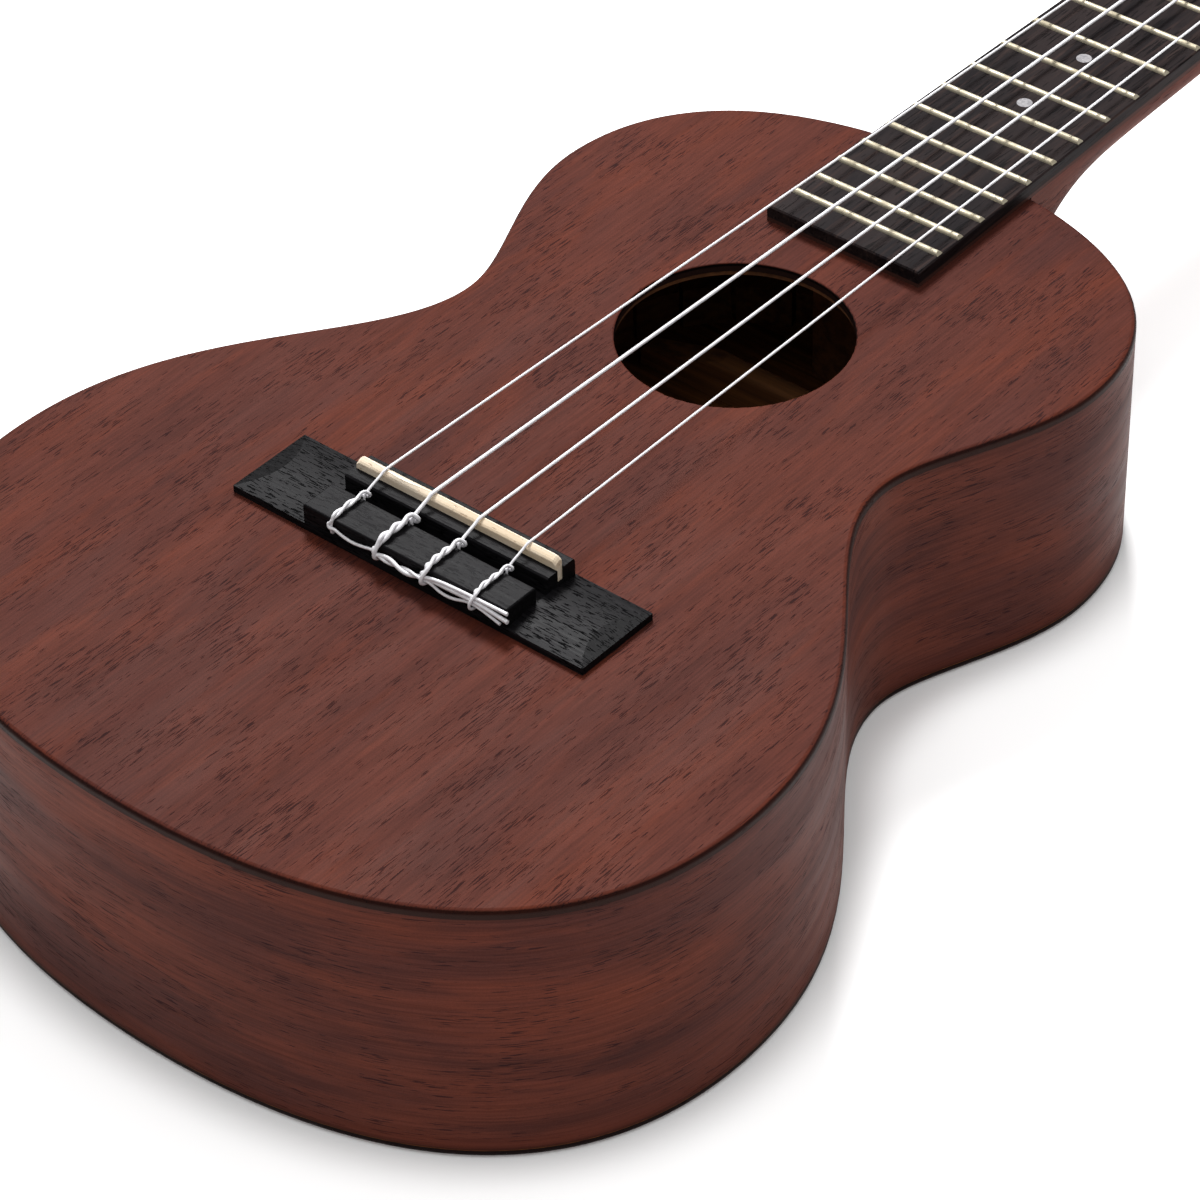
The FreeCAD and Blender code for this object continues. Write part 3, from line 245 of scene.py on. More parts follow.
def mahogany(name, along, tones, seed, edge=None, ember_share=0.4, fine=1.0):
    """Satin stained mahogany: clouds of colour, silky lines, and small dark pores in drifts.

    The tones are two grounds, a dusk for the drifts and an ember for the glow. A fine over 1 makes
    the clouds and drifts thinner and the glow wider. The function edge adds the rims' dark lines and
    bands, and painted shade and painted floor-bounced light low on the sides and back.
    """
    pale, deep, dusk, ember = tones
    long = 1 / fine
    finish = Finish(name)
    cloud = finish.noise(grain(finish, along, 0.32 * long, seed), 26 * fine, 4.0, 0.6, 0.3)
    colour = finish.mix(finish.ramp(cloud, 0.36, 0.62), pale, deep)
    drift = finish.noise(grain(finish, along, 0.16 * long, seed + 1), 85 * fine, 3.0, 0.6, 0.2)
    colour = finish.mix(finish.ramp(drift, 0.50, 0.76, 0.0, 0.50), colour, dusk)
    glow = finish.noise(grain(finish, along, 0.17, seed + 5), 90 * long, 5.0, 0.68)
    colour = finish.mix(finish.ramp(glow, 0.46, 0.70, 0.0, ember_share), colour, ember)
    silk = finish.noise(grain(finish, along, 0.018, seed), 1900, 2.0, 0.6)
    thread = finish.noise(grain(finish, along, 0.03, seed + 2), 620, 3.0, 0.6)
    speck = finish.noise(finish.stretched(shift=seed), 2400, 1.0)
    silk_shade = finish.ramp(silk, 0.28, 0.72, 0.84, 1.15)
    thread_shade = finish.ramp(thread, 0.30, 0.70, 0.94, 1.06)
    speck_shade = finish.ramp(speck, 0.2, 0.8, 0.93, 1.07)
    colour = shaded(finish, colour, silk_shade, thread_shade, speck_shade)
    crowd = finish.noise(grain(finish, along, 0.4, seed + 4), 95, 2.0)
    crowd = finish.ramp(crowd, 0.40, 0.64, -0.085, 0.03)
    pores = finish.noise(grain(finish, along, 0.055, seed + 3), 3300, 1.0, 0.4)
    pores = finish.ramp(finish.plus(pores, crowd), 0.60, 0.67)
    colour = finish.mix(finish.times(pores, 0.72), colour, tint(30, 20, 23))
    if edge is not None:
        colour = edge(finish, colour)
    rough = finish.plus(finish.ramp(drift, 0.3, 0.7, 0.42, 0.54), finish.times(pores, 0.2))
    relief = finish.bump(pores, -0.03, finish.bump(silk, 0.008))
    finish.set(Base_Color=colour, Roughness=rough, Normal=relief)
    finish.set(IOR=1.42, Specular_IOR_Level=0.05, Specular_Tint=(0.72, 0.50, 0.44, 1))
    return finish.material


def plate_rim(finish, colour):
    """The soundboard's own edge: a thin dark line over a dark band, and the soundhole's dark wall."""
    height = board_height(finish)
    centre = BOARD @ HOLE_CENTRE
    away = finish.node("VectorMath", {0: finish.place, 1: centre}, operation="DISTANCE").outputs["Value"]
    near = finish.ramp(away, (HOLE_RADIUS + 0.7) * MM, (HOLE_RADIUS + 1.4) * MM, 1.0, 0.0)
    wall = finish.times(near, finish.ramp(height, -0.45, -0.1, 1.0, 0.0))
    colour = finish.mix(wall, colour, tint(20, 12, 10))
    band = finish.ramp(height, -1.1, -0.6, 1.0, 0.0)
    colour = finish.mix(band, colour, tint(40, 26, 23))
    line = finish.times(finish.ramp(height, -1.1, -0.8), finish.ramp(height, -0.40, -0.12, 1.0, 0.0))
    return finish.mix(finish.times(line, 0.8), colour, RIM_LINE_AND_PAINTED_SHADE)


def side_rims(finish, colour):
    """Sides: painted shade under the soundboard's overhang, painted warm light bounced off the floor low
    down, and nearly black painted shade at their foot, where they meet the floor.
    """
    # Painted shade under the soundboard's overhang, on the sides' top few millimetres.
    under = finish.ramp(board_height(finish), -5.0, -2.4, 0.0, 0.28)
    colour = finish.mix(under, colour, tint(34, 23, 21))
    low = ground_height(finish)
    # Painted light: a warm glow of light bounced off the floor, on the sides' lowest few millimetres.
    colour = finish.mix(finish.ramp(low, 3.0, 9.0, 0.35, 0.0), colour, tint(88, 38, 24))
    # Painted shade: the sides' foot turned nearly black where it meets the floor.
    return finish.mix(finish.ramp(low, 1.2, 4.2, 0.95, 0.0), colour, RIM_LINE_AND_PAINTED_SHADE)


def back_rim(finish, colour):
    """Back: nearly black painted shade round its edge, where it lies on the floor, and bare on the face
    inside the body.
    """
    low = ground_height(finish)
    # Painted shade: the back's edge turned nearly black above where it lies on the floor.
    colour = finish.mix(finish.ramp(low, 0.05, 0.9, 0.0, 0.95), colour, RIM_LINE_AND_PAINTED_SHADE)
    streak = finish.noise(grain(finish, "across", 0.05, 8.0), 380, 4.0, 0.6)
    bare = finish.mix(finish.ramp(streak, 0.3, 0.7), tint(112, 69, 36), tint(70, 42, 22))
    return finish.mix(finish.ramp(low, 2.36, 2.44), colour, bare)


def rosewood(name, seed):
    """Dark oiled rosewood with brown streaks, short open pores and a glue line at the soundboard."""
    finish = Finish(name)
    band = finish.noise(grain(finish, "body", 0.12, seed), 160, 3.0, 0.6, 0.6)
    colour = finish.mix(finish.ramp(band, 0.36, 0.66), tint(22, 18, 20), tint(37, 30, 30))
    streak = finish.noise(grain(finish, "body", 0.03, seed), 800, 3.0, 0.6)
    colour = finish.mix(finish.ramp(streak, 0.5, 0.78, 0.0, 0.7), colour, tint(62, 48, 44))
    pores = finish.ramp(finish.noise(grain(finish, "body", 0.06, seed + 2), 1700, 1.0), 0.60, 0.67)
    colour = finish.mix(finish.times(pores, 0.85), colour, tint(9, 7, 8))
    height = board_height(finish)
    seam = finish.times(finish.ramp(height, 0.9, 1.3, 1.0, 0.0), finish.ramp(height, -0.1, 0.0))
    colour = finish.mix(finish.times(seam, 0.9), colour, tint(70, 44, 38))
    relief = finish.bump(streak, 0.02, finish.bump(pores, -0.04))
    finish.set(Base_Color=colour, Roughness=finish.ramp(streak, 0.3, 0.7, 0.42, 0.58), Normal=relief)
    finish.set(IOR=1.45, Specular_IOR_Level=0.04)
    return finish.material


def stained_black(name):
    """Black-stained wood of the bridge: open pores on the wings, and painted shade, darker, on the
    slopes at their tips.
    """
    finish = Finish(name)
    wide = grain(finish, "across", 0.25, 1.0)
    cloud = finish.noise(wide, 120, 2.0)
    colour = finish.mix(finish.ramp(cloud, 0.35, 0.65), tint(14, 13, 15), tint(21, 20, 22))
    streak = finish.noise(grain(finish, "across", 0.04, 2.0), 1100, 3.0, 0.6)
    colour = finish.mix(finish.ramp(streak, 0.4, 0.75, 0.0, 0.5), colour, tint(44, 42, 44))
    open_share = finish.ramp(board_height(finish), WING_TOP, WING_TOP + 0.5, 1.0, 0.2)
    crowd = finish.ramp(finish.noise(wide, 190, 1.0), 0.35, 0.65, -0.04, 0.04)
    pores = finish.plus(finish.noise(grain(finish, "across", 0.13, 4.0), 2600, 1.0), crowd)
    pores = finish.times(finish.ramp(pores, 0.585, 0.63), open_share)
    colour = finish.mix(pores, colour, tint(4, 4, 5))
    # Painted shade: faces that lean across the bridge, the sloped wing tips, are darkened.
    lean = finish.axis(finish.node("NewGeometry").outputs["True Normal"], "X")
    painted_facet_shade = finish.ramp(finish.maths("ABSOLUTE", lean), 0.07, 0.13, 0.0, 0.55)
    colour = finish.mix(painted_facet_shade, colour, tint(10, 10, 11))
    rough = finish.plus(finish.ramp(streak, 0.3, 0.7, 0.38, 0.50), finish.times(pores, 0.4))
    relief = finish.bump(streak, 0.015, finish.bump(pores, -0.06))
    finish.set(Base_Color=colour, Roughness=rough, Normal=relief, IOR=1.45, Specular_IOR_Level=0.055)
    return finish.material


def bare_wood(name, along, light, dark, seed):
    """Unfinished wood of the inside."""
    finish = Finish(name)
    streak = finish.noise(grain(finish, along, 0.03, seed), 380, 4.0, 0.6)
    colour = finish.mix(finish.ramp(streak, 0.3, 0.7), dark, light)
    cloud = finish.noise(grain(finish, along, 0.2, seed), 40, 2.0)
    colour = finish.mix(finish.ramp(cloud, 0.45, 0.7, 0.0, 0.4), colour, dark)
    finish.set(Base_Color=colour, Roughness=0.8, Normal=finish.bump(streak, 0.06), IOR=1.4)
    return finish.material


def bone(name):
    """Polished bone with short brown flecks along its length."""
    finish = Finish(name)
    cloud = finish.noise(finish.stretched(0.2, 1, 1), 260, 3.0, 0.6)
    colour = finish.mix(finish.ramp(cloud, 0.35, 0.7), tint(238, 222, 200), tint(220, 198, 168))
    fleck = finish.noise(finish.stretched(0.35, 1, 1, 2.0), 1300, 1.0)
    fleck = finish.ramp(fleck, 0.67, 0.72, 0.0, 0.5)
    colour = finish.mix(fleck, colour, tint(150, 108, 76))
    finish.set(Base_Color=colour, Roughness=finish.ramp(cloud, 0.3, 0.7, 0.26, 0.42), IOR=1.5)
    finish.set(Normal=finish.bump(fleck, -0.03))
    return finish.material


def metal(name, colour, worn, rough, seed, x=1.0, y=1.0):
    """Metal with fine scratches drawn out along one way, and duller patches."""
    finish = Finish(name)
    scratch = finish.noise(finish.stretched(x, y, 1, seed), 2600, 3.0, 0.7)
    patch = finish.noise(finish.stretched(shift=seed), 180, 3.0, 0.6)
    shade = finish.mix(finish.ramp(patch, 0.35, 0.75, 0.0, 0.8), colour, worn)
    roughness = finish.ramp(finish.plus(patch, scratch), 0.7, 1.3, rough * 0.8, rough * 1.4)
    finish.set(Base_Color=shade, Metallic=1.0, Roughness=roughness, Normal=finish.bump(scratch, 0.003))
    return finish.material


def pearl(name):
    """Grey pearl with soft clouds under a thin clear coat."""
    finish = Finish(name)
    flow = finish.noise(finish.stretched(), 700, 3.0, 0.6, 1.5)
    colour = finish.mix(finish.ramp(flow, 0.35, 0.65), tint(156, 153, 155), tint(126, 124, 128))
    finish.set(Base_Color=colour, Roughness=0.22, Coat_Weight=0.4, Coat_Roughness=0.12)
    finish.set(Normal=finish.bump(flow, 0.01))
    return finish.material


def plastic(name):
    """Glossy black plastic."""
    finish = Finish(name)
    orange = finish.noise(finish.stretched(), 1500, 2.0)
    patch = finish.noise(finish.stretched(shift=2.0), 260, 2.0, 0.6)
    colour = finish.mix(finish.ramp(patch, 0.35, 0.7), tint(17, 17, 19), tint(25, 24, 26))
    finish.set(Base_Color=colour, Roughness=finish.ramp(patch, 0.3, 0.7, 0.18, 0.30), IOR=1.49)
    finish.set(Normal=finish.bump(orange, 0.012))
    return finish.material


def nylon(name):
    """White nylon, very slightly uneven."""
    finish = Finish(name)
    haze = finish.noise(finish.stretched(), 500, 2.0)
    colour = finish.mix(finish.ramp(haze, 0.3, 0.7), tint(238, 237, 240), tint(222, 220, 224))
    finish.set(Base_Color=colour, Roughness=finish.ramp(haze, 0.3, 0.7, 0.30, 0.40), IOR=1.53)
    return finish.material


# Near-black for the soundboard's thin edge line, and for painted shade where the sides and back meet the
# floor.
RIM_LINE_AND_PAINTED_SHADE = tint(12, 7, 7)
TOP_TONES = tint(81, 40, 31), tint(72, 37, 31), tint(59, 35, 33), tint(97, 44, 27)
SIDE_TONES = tint(86, 44, 34), tint(69, 37, 32), tint(45, 29, 29), tint(108, 52, 35)
NECK_TONES = tint(90, 46, 36), tint(76, 41, 34), tint(58, 35, 33), tint(108, 50, 33)
MAHOGANY_TOP = mahogany("satin_mahogany_top", "body", TOP_TONES, 0.0, plate_rim)
MAHOGANY_RIM = mahogany("satin_mahogany_rim", "rim", SIDE_TONES, 5.0, side_rims, 0.42, 1.6)
MAHOGANY_BACK = mahogany("satin_mahogany_back", "body", TOP_TONES, 9.0, back_rim)
MAHOGANY_NECK = mahogany("satin_mahogany_neck", "body", NECK_TONES, 13.0)
ROSEWOOD = rosewood("oiled_rosewood", 0.0)
HEAD_ROSEWOOD = rosewood("veneer_rosewood", 6.0)
BLACK_WOOD = stained_black("black_stained_bridge_wood")
CEDAR = bare_wood("bare_lining_wood", "body", tint(120, 74, 40), tint(78, 46, 24), 2.0)
CROSS_CEDAR = bare_wood("bare_brace_wood", "across", tint(146, 94, 50), tint(98, 60, 32), 4.0)
BONE = bone("polished_bone")
NICKEL = metal("nickel_silver_wire", tint(178, 170, 151), tint(166, 158, 138), 0.56, 0.0, x=0.1)
STEEL = metal("plated_steel", tint(196, 197, 200), tint(160, 162, 166), 0.20, 3.0, y=0.2)
BRASS = metal("gear_brass", tint(198, 162, 98), tint(160, 126, 72), 0.26, 6.0)
PEARL = pearl("pearl_inlay")
PLASTIC = plastic("black_button_plastic")
NYLON = nylon("clear_white_nylon")

LOOKS = {
    "soundboard": MAHOGANY_TOP, "back_plate": MAHOGANY_BACK, "side": MAHOGANY_RIM,
    "neck": MAHOGANY_NECK, "fretboard": ROSEWOOD, "headstock_veneer": HEAD_ROSEWOOD,
    "bridge": BLACK_WOOD, "nut": BONE, "saddle": BONE, "frets": NICKEL, "position_dots": PEARL,
    "tuner_plate": STEEL, "string_post": STEEL, "post_bushings": STEEL, "plate_screws": STEEL,
    "wheel_screw": STEEL, "worm_shaft": STEEL, "worm_wheel": BRASS, "tuner_button": PLASTIC,
    "string": NYLON, "string_coil": NYLON, "upper_face_brace": CROSS_CEDAR,
    "lower_face_brace": CROSS_CEDAR, "back_braces": CROSS_CEDAR, "bridge_patch": CROSS_CEDAR,
    "neck_block": CEDAR, "neck_dowels": CEDAR,
}


def dress_cad_nodes():
    """Gives every CAD node the look of the longest name in LOOKS that its own name starts with."""
    for name, node in frame["nodes"].items():
        known = [key for key in LOOKS if name == key or name.startswith(key + "_")]
        look = LOOKS[max(known, key=len)] if known else CEDAR
        for slot in node.material_slots:
            slot.material = look


# ------------------------------------------------------------ pieces
def strand(name, route, radius, body, to_row, firm=None):
    """A round string on a body. The route is in the frame that to_row turns into the row's frame.

    From the point numbered firm on, the string is a little thicker, where tying has squashed it.
    """
    curve = bpy.data.curves.new(name, "CURVE")
    curve.dimensions = "3D"
    curve.bevel_depth = radius * MM
    curve.bevel_resolution = 4
    curve.use_fill_caps = True
    line = curve.splines.new("NURBS")
    line.points.add(len(route) - 1)
    for number, (point, place) in enumerate(zip(line.points, route)):
        point.co = (*(to_row @ Vector(place)), 1)
        point.radius = SQUASH if firm is not None and number >= firm else 1.0
    line.use_endpoint_u = True
    line.order_u = 3
    line.resolution_u = 6
    curve.materials.append(NYLON)
    piece = bpy.data.objects.new(name, curve)
    bpy.context.scene.collection.objects.link(piece)
    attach(piece, body)
    return piece


def twisted_pair(x, radius, turns, start):
    """Points of the loop's two strands over the tie block, from its rear edge to its front edge."""
    first, second = [], []
    rear = BLOCK_REAR + 0.3
    front = BLOCK_FRONT - 1.2
    steps = round(turns * TWIST_STEPS)
    for step in range(steps + 1):
        share = step / steps
        angle = start + 2 * math.pi * turns * share
        height = BLOCK_TOP + 2.1 * radius + 0.35 * math.sin(math.pi * share) + 0.25 * share
        side = Vector((math.cos(angle), 0, math.sin(angle))) * radius * 1.2
        middle = Vector((x, rear + (front - rear) * share, height))
        first.append(middle + side)
        second.append(middle - side)
    return first, second


def knot(radius, x, turns, out, tail):
    """From the saddle down through the block, back over it, round the string and under itself.

    The riser behind the block stands out by the length out, to bind the tails that pass inside it.
    """
    front = BLOCK_FRONT
    rear = BLOCK_REAR
    top = BLOCK_TOP
    edge = Vector((x, front + 0.3 + radius, top + 0.55))
    over, back = twisted_pair(x + 0.1, radius, turns, math.pi * (0.5 - 2 * turns))
    route = [
        edge,
        Vector((x, front + 0.25 + radius, TIE_HOLE + 2.0)),
        Vector((x, front - 1.0, TIE_HOLE)),
        Vector((x, (front + rear) / 2, TIE_HOLE)),
        Vector((x, rear - 0.3, TIE_HOLE)),
        Vector((x - 0.1, rear - out, TIE_HOLE + 0.9)),
        Vector((x - 0.1, rear - out, top - 1.4)),
        Vector((over[0].x, rear - 0.3 * out, top + 0.9 * radius)),
    ]
    route += over
    route += [
        Vector((x + 0.1, front - 0.3, top + 3.0 * radius + 0.7)),
        edge + Vector((0.3, 0.3, 2 * radius + 0.4)),
        edge + Vector((2.8 * radius + 0.3, 1.0, 0.2)),
        edge + Vector((1.8 * radius, 1.2, -1.9 * radius - 0.4)),
        edge + Vector((-1.3 * radius, 0.9, -1.8 * radius - 0.4)),
        edge + Vector((-2.0 * radius - 0.1, -0.4, -0.3)),
        Vector((x - radius - 0.1, front - 0.5, top + radius + 0.2)),
    ]
    route += list(reversed(back))
    return route + tail


def tail_starts(radius, x, height):
    """The cut end bent down the block's rear face, round its riser and off along the block at height."""
    near = BLOCK_REAR - radius - 0.1
    return [
        Vector((x + 0.5 * radius, near + 0.2, BLOCK_TOP + 0.6 * radius)),
        Vector((x - 0.6 * radius, near - 0.2, BLOCK_TOP - 0.7)),
        Vector((x - 2.0 * radius - 0.1, near - 1.2 * radius, (BLOCK_TOP + height) / 2 - 0.1)),
        Vector((x - 0.4 * radius, near - 2.3 * radius, height - 0.1)),
        Vector((x + 2.2 * radius + 0.3, near - radius, height)),
    ]


def bundle(start, end, height, depth, turns, phase, swing):
    """Points of a tail that winds about the others as it runs along the block's rear face."""
    points = []
    steps = round(turns * TWIST_STEPS)
    for step in range(steps + 1):
        share = step / steps
        angle = phase + 2 * math.pi * turns * share
        sag = -0.5 * math.sin(math.pi * share)
        points.append(Vector((
            start + (end - start) * share,
            depth + swing * math.cos(angle),
            height + sag + swing * math.sin(angle),
        )))
    return points


def tails():
    """The four cut ends; g, c and e run on together to beyond a's loop."""
    g_x, c_x, e_x, a_x = (STRINGS[name][1] for name in "gcea")
    face = BLOCK_REAR
    g_tail = tail_starts(STRINGS["g"][0], g_x, 5.5)
    g_tail += [
        Vector((g_x + 3.2, face - 0.6, 4.4)), Vector((g_x + 6.5, face - 0.6, 3.9)),
        Vector((g_x + 10.0, face - 0.6, 4.4)), Vector((c_x - 1.8, face - 0.6, 5.2)),
    ]
    g_tail += bundle(c_x + 1.4, e_x - 1.2, 4.9, face - 1.05, 1.0, math.pi, 0.48)
    g_tail += [
        Vector((e_x + 1.5, face - 0.8, 4.5)), Vector((e_x + 5.0, face - 1.1, 3.3)),
        Vector((e_x + 9.0, face - 1.1, 3.5)), Vector((a_x - 2.2, face - 0.8, 4.7)),
        Vector((a_x + 2.0, face - 0.9, 4.9)), Vector((TAIL_END - 2.0, face - 1.7, 4.0)),
    ]
    c_tail = tail_starts(STRINGS["c"][0], c_x, 5.2)
    c_tail += bundle(c_x + 3.0, e_x - 1.2, 5.0, face - 1.15, 0.9, 0.4, 0.5)
    c_tail += [
        Vector((e_x + 1.5, face - 0.6, 5.2)), Vector((e_x + 6.5, face - 0.7, 5.4)),
        Vector((a_x - 2.5, face - 0.7, 5.6)), Vector((a_x + 2.0, face - 0.8, 5.8)),
        Vector((TAIL_END, face - 1.3, 5.3)),
    ]
    e_tail = tail_starts(STRINGS["e"][0], e_x, 5.8)
    e_tail += [
        Vector((e_x + 5.0, face - 0.6, 6.2)), Vector((a_x - 3.0, face - 0.55, 6.5)),
        Vector((a_x + 2.0, face - 0.55, 6.7)), Vector((TAIL_END - 0.6, face - 0.6, 6.9)),
    ]
    a_tail = tail_starts(STRINGS["a"][0], a_x, 6.0)[:4]
    return {"g": g_tail, "c": c_tail, "e": e_tail, "a": a_tail}


def post_frame(name):
    """Matrix from a post's own frame, foot on the headstock's face, to the row frame."""
    joint = JOINTS["post_turn_" + name]
    up = Vector(joint["axis"]).normalized()
    across = Vector((1, 0, 0))
    turn = Matrix((across, up.cross(across), up)).transposed().to_4x4()
    veneer = frame["nodes"]["headstock_veneer"].data
    faces = [face for face in veneer.polygons if face.normal.dot(up) > 0.99]
    level = max(face.center.dot(up) for face in faces)
    foot = Vector(joint["pos_m"])
    foot += up * (level - foot.dot(up))
    return Matrix.Translation(foot) @ turn @ Matrix.Scale(MM, 4)


def string_start(name):
    """Where the string leaves its coil, in the board's frame, the angle there, and the coil's hand."""
    radius, _, nut_x = STRINGS[name]
    to_post = BOARD.inverted() @ post_frame(name)
    nut = to_post.inverted() @ Vector((nut_x, NUT_MIDDLE, NUT_TOP))
    around = POST_R + radius + COIL_GAP
    reach = math.hypot(nut.x, nut.y)
    bearing = math.atan2(nut.y, nut.x)
    side = math.copysign(1, nut.x)
    angle = bearing - side * math.acos(around / reach)
    leaving = Vector((around * math.cos(angle), around * math.sin(angle), COIL_START))
    return to_post @ leaving, angle, side


def make_string(name, tail):
    """One string from its coil over nut and saddle to its knot and cut end."""
    radius, x, nut_x = STRINGS[name]
    start = string_start(name)[0]
    nut = Vector((nut_x, NUT_MIDDLE, NUT_TOP))
    crown = (SADDLE_REAR + SADDLE_FRONT) / 2
    toward = (start - nut).normalized()
    over = Vector((x, crown + 3, SADDLE_TOP + radius))
    down = (over - nut).normalized()
    route = [
        start, nut + toward * 3, nut, nut + down * 3, over - down * 12, over,
        Vector((x, crown + 0.2, SADDLE_TOP + radius + 0.02)),
        Vector((x, crown - 1.0, SADDLE_TOP + radius - 0.06)),
        Vector((x, crown - 2.2, SADDLE_TOP - 0.35)),
    ]
    tied_from = len(route) + 1
    route += knot(radius, x, TWISTS[name], BINDS[name], tail)
    piece = strand("tied_string_" + name, route, radius, "instrument", BOARD, tied_from)
    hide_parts("string_" + name)


def make_coil(name):
    """Turns of string on its post, from where it comes in up to the cross hole and out through it."""
    radius = STRINGS[name][0]
    _, angle, side = string_start(name)
    swell = 1 / math.cos(math.pi / COIL_STEPS)    # the curve runs inside its control points
    around = (POST_R + radius + COIL_GAP) * swell
    pitch = 2 * radius + TURN_GAP
    route = []
    for step in range(COIL_TURNS * COIL_STEPS + 1):
        turns = step / COIL_STEPS
        turn = angle - side * 2 * math.pi * turns
        height = COIL_START + pitch * turns
        route.append(Vector((around * math.cos(turn), around * math.sin(turn), height)))
    last = math.atan2(route[-1].y, route[-1].x)
    inward = Vector((math.cos(last), math.sin(last), 0))
    route += [
        inward * (POST_R + 0.5) + Vector((0, 0, POST_HOLE - 0.2)),
        Vector((0, 0, POST_HOLE)),
        -inward * (POST_R + 3.0) + Vector((0, 0, POST_HOLE)),
    ]
    piece = strand("wound_coil_" + name, route, radius, "post_" + name, post_frame(name))
    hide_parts("string_coil_" + name)


def ridge_at(x):
    """How far behind the saddle's front face its ridge runs at x."""
    from_hump = (x - HUMP_X) / HUMP_WIDTH
    return RIDGE_SETBACK + HUMP * math.exp(-from_hump ** 2)


def saddle_ring(x):
    """The saddle's outline across its length at x, from the foot of its rear face round to its front."""
    from_end = SADDLE_HALF - abs(x)
    top = SADDLE_TOP - max(0.0, SADDLE_END - from_end) ** 1.5 * 0.7
    ridge = SADDLE_FRONT - ridge_at(x)
    rear_shoulder = top - SHOULDER_DROP
    front_shoulder = top - 0.25 - 0.18 * ridge_at(x)
    outline = [
        (SADDLE_REAR, SADDLE_FOOT),
        (SADDLE_REAR, rear_shoulder - 0.12),
        (SADDLE_REAR + 0.08, rear_shoulder + 0.1),
    ]
    for share in (0.25, 0.5, 0.75):
        y = SADDLE_REAR + (ridge - SADDLE_REAR) * share
        outline.append((y, rear_shoulder + (top - rear_shoulder) * share ** 0.62))
    outline += [
        (ridge - 0.12, top - 0.01),
        (ridge + 0.12, top - 0.02),
        (SADDLE_FRONT - 0.1, front_shoulder),
        (SADDLE_FRONT, front_shoulder - 0.15),
        (SADDLE_FRONT, SADDLE_FOOT),
    ]
    return [(x, y, z) for y, z in outline]


def make_saddle():
    """Bone saddle whose polished ridge wanders from string to string."""
    rings = []
    for station in range(SADDLE_STATIONS + 1):
        rings.append(saddle_ring(-SADDLE_HALF + 2 * SADDLE_HALF * station / SADDLE_STATIONS))
    size = len(rings[0])
    faces = [list(range(size))]
    for start in range(0, SADDLE_STATIONS * size, size):
        for corner in range(size):
            after = (corner + 1) % size
            faces.append([start + corner, start + size + corner, start + size + after, start + after])
    faces.append([SADDLE_STATIONS * size + corner for corner in reversed(range(size))])
    mesh = bpy.data.meshes.new("polished_saddle")
    mesh.from_pydata([BOARD @ Vector(point) for ring in rings for point in ring], [], faces)
    mesh.validate()
    mesh.materials.append(BONE)
    piece = bpy.data.objects.new("polished_saddle", mesh)
    bpy.context.scene.collection.objects.link(piece)
    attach(piece, "instrument")
    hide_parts("saddle")


# ------------------------------------------------------ stage, light
# In metres in the row frame.
FLOOR_HALF = 6.0
FLOOR_GAP = 0.05 * MM
SHADOW_REACH = 0.027           # how far out from the body the floor's painted glow is dimmed, which paints its contact shadow
LIGHTS = {                     # place, side of the square, power in watts
    "key": ((-0.75, 0.80, 1.45), 0.55, 44),
    "overhead": ((0.35, -0.3, 1.8), 1.6, 10),
}
LIGHT_TARGET = Vector((0, 0, 0.06))
SKY_STRENGTH = 0.4


def make_floor():
    """White floor with a painted glow, dimmed by ambient occlusion near the body to paint a contact
    shadow in the crevice where the body stands on it.
    """
    mesh = bpy.data.meshes.new("floor")
    corners = [(x * FLOOR_HALF, y * FLOOR_HALF, 0) for x, y in ((-1, -1), (1, -1), (1, 1), (-1, 1))]
    mesh.from_pydata(corners, [], [(0, 1, 2, 3)])
    finish = Finish("white_sweep_painted_contact_shadow")
    mottle = finish.noise(finish.stretched(), 3.0, 2.0)
    finish.set(Base_Color=finish.mix(mottle, tint(250, 250, 250), tint(254, 254, 254)), Roughness=0.9)
    open_sky = finish.node("AmbientOcclusion", {"Distance": SHADOW_REACH}, samples=16).outputs["AO"]
    # Painted light and shadow: the floor glows in the open, and the glow is dimmed near the body into a
    # painted contact shadow.
    glow = finish.ramp(open_sky, 0.50, 0.84, 0.08, 0.50)
    finish.set(Emission_Color=(1, 1, 1, 1), Emission_Strength=glow, Specular_IOR_Level=0.0)
    mesh.materials.append(finish.material)
    floor = bpy.data.objects.new("floor", mesh)
    floor.location.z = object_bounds()[0].z - FLOOR_GAP
    bpy.context.scene.collection.objects.link(floor)


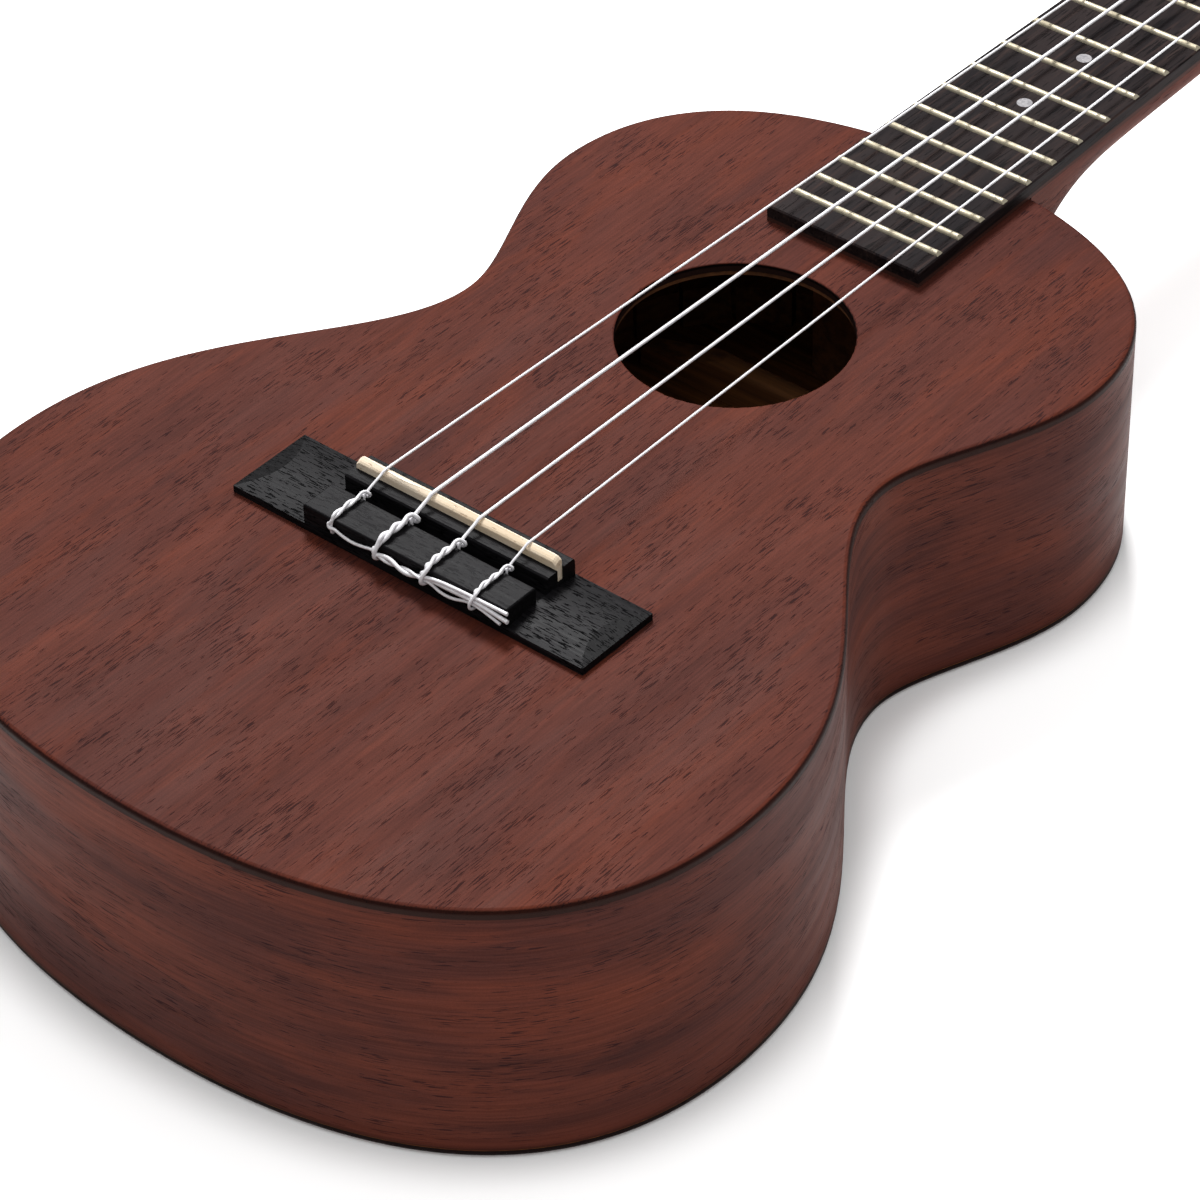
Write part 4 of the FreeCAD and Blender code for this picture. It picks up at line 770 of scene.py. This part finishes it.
def make_light(name, place, side, power):
    lamp = bpy.data.lights.new(name, "AREA")
    lamp.shape = "SQUARE"
    lamp.size = side
    lamp.energy = power
    holder = bpy.data.objects.new(name, lamp)
    holder.location = place
    holder.rotation_euler = (LIGHT_TARGET - Vector(place)).to_track_quat("-Z", "Y").to_euler()
    bpy.context.scene.collection.objects.link(holder)


def make_world():
    world = bpy.data.worlds.new("studio")
    bpy.context.scene.world = world
    world.use_nodes = True
    background = world.node_tree.nodes["Background"]
    background.inputs["Color"].default_value = (1, 1, 1, 1)
    background.inputs["Strength"].default_value = SKY_STRENGTH


# ------------------------------------------------------------ camera
# Its aim is a point on the soundboard, and its distance from there is in metres.
CAMERA_AIM = BOARD @ Vector((41.14, -0.88, 0.006))
CAMERA_AZIMUTH = math.radians(41.746)
CAMERA_ELEVATION = math.radians(41.031)
CAMERA_ROLL = math.radians(-3.114)
CAMERA_DISTANCE = 1.06892
CAMERA_LENS = 138.38
CAMERA_SENSOR = 36.0
CAMERA_SHIFT = (-0.00508, -0.00072)


def make_camera():
    """Camera that looks at CAMERA_AIM from the given azimuth and elevation, slightly rolled."""
    data = bpy.data.cameras.new("camera")
    data.lens = CAMERA_LENS
    data.sensor_width = CAMERA_SENSOR
    data.shift_x, data.shift_y = CAMERA_SHIFT
    sine = math.sin(CAMERA_AZIMUTH)
    cosine = math.cos(CAMERA_AZIMUTH)
    flat = math.cos(CAMERA_ELEVATION)
    back = Vector((sine * flat, -cosine * flat, math.sin(CAMERA_ELEVATION)))
    level = Vector((cosine, sine, 0))
    upright = back.cross(level)
    right = level * math.cos(CAMERA_ROLL) + upright * math.sin(CAMERA_ROLL)
    up = back.cross(right)
    holder = bpy.data.objects.new("camera", data)
    turn = Matrix((right, up, back)).transposed().to_4x4()
    holder.matrix_world = Matrix.Translation(CAMERA_AIM + back * CAMERA_DISTANCE) @ turn
    bpy.context.scene.collection.objects.link(holder)
    bpy.context.scene.camera = holder


dress_cad_nodes()
make_saddle()
cut_ends = tails()
for string_name in STRINGS:
    make_string(string_name, cut_ends[string_name])
    make_coil(string_name)
make_floor()
make_world()
for light_name, settings in LIGHTS.items():
    make_light(light_name, *settings)
make_camera()
bpy.context.scene.view_settings.view_transform = "Standard"
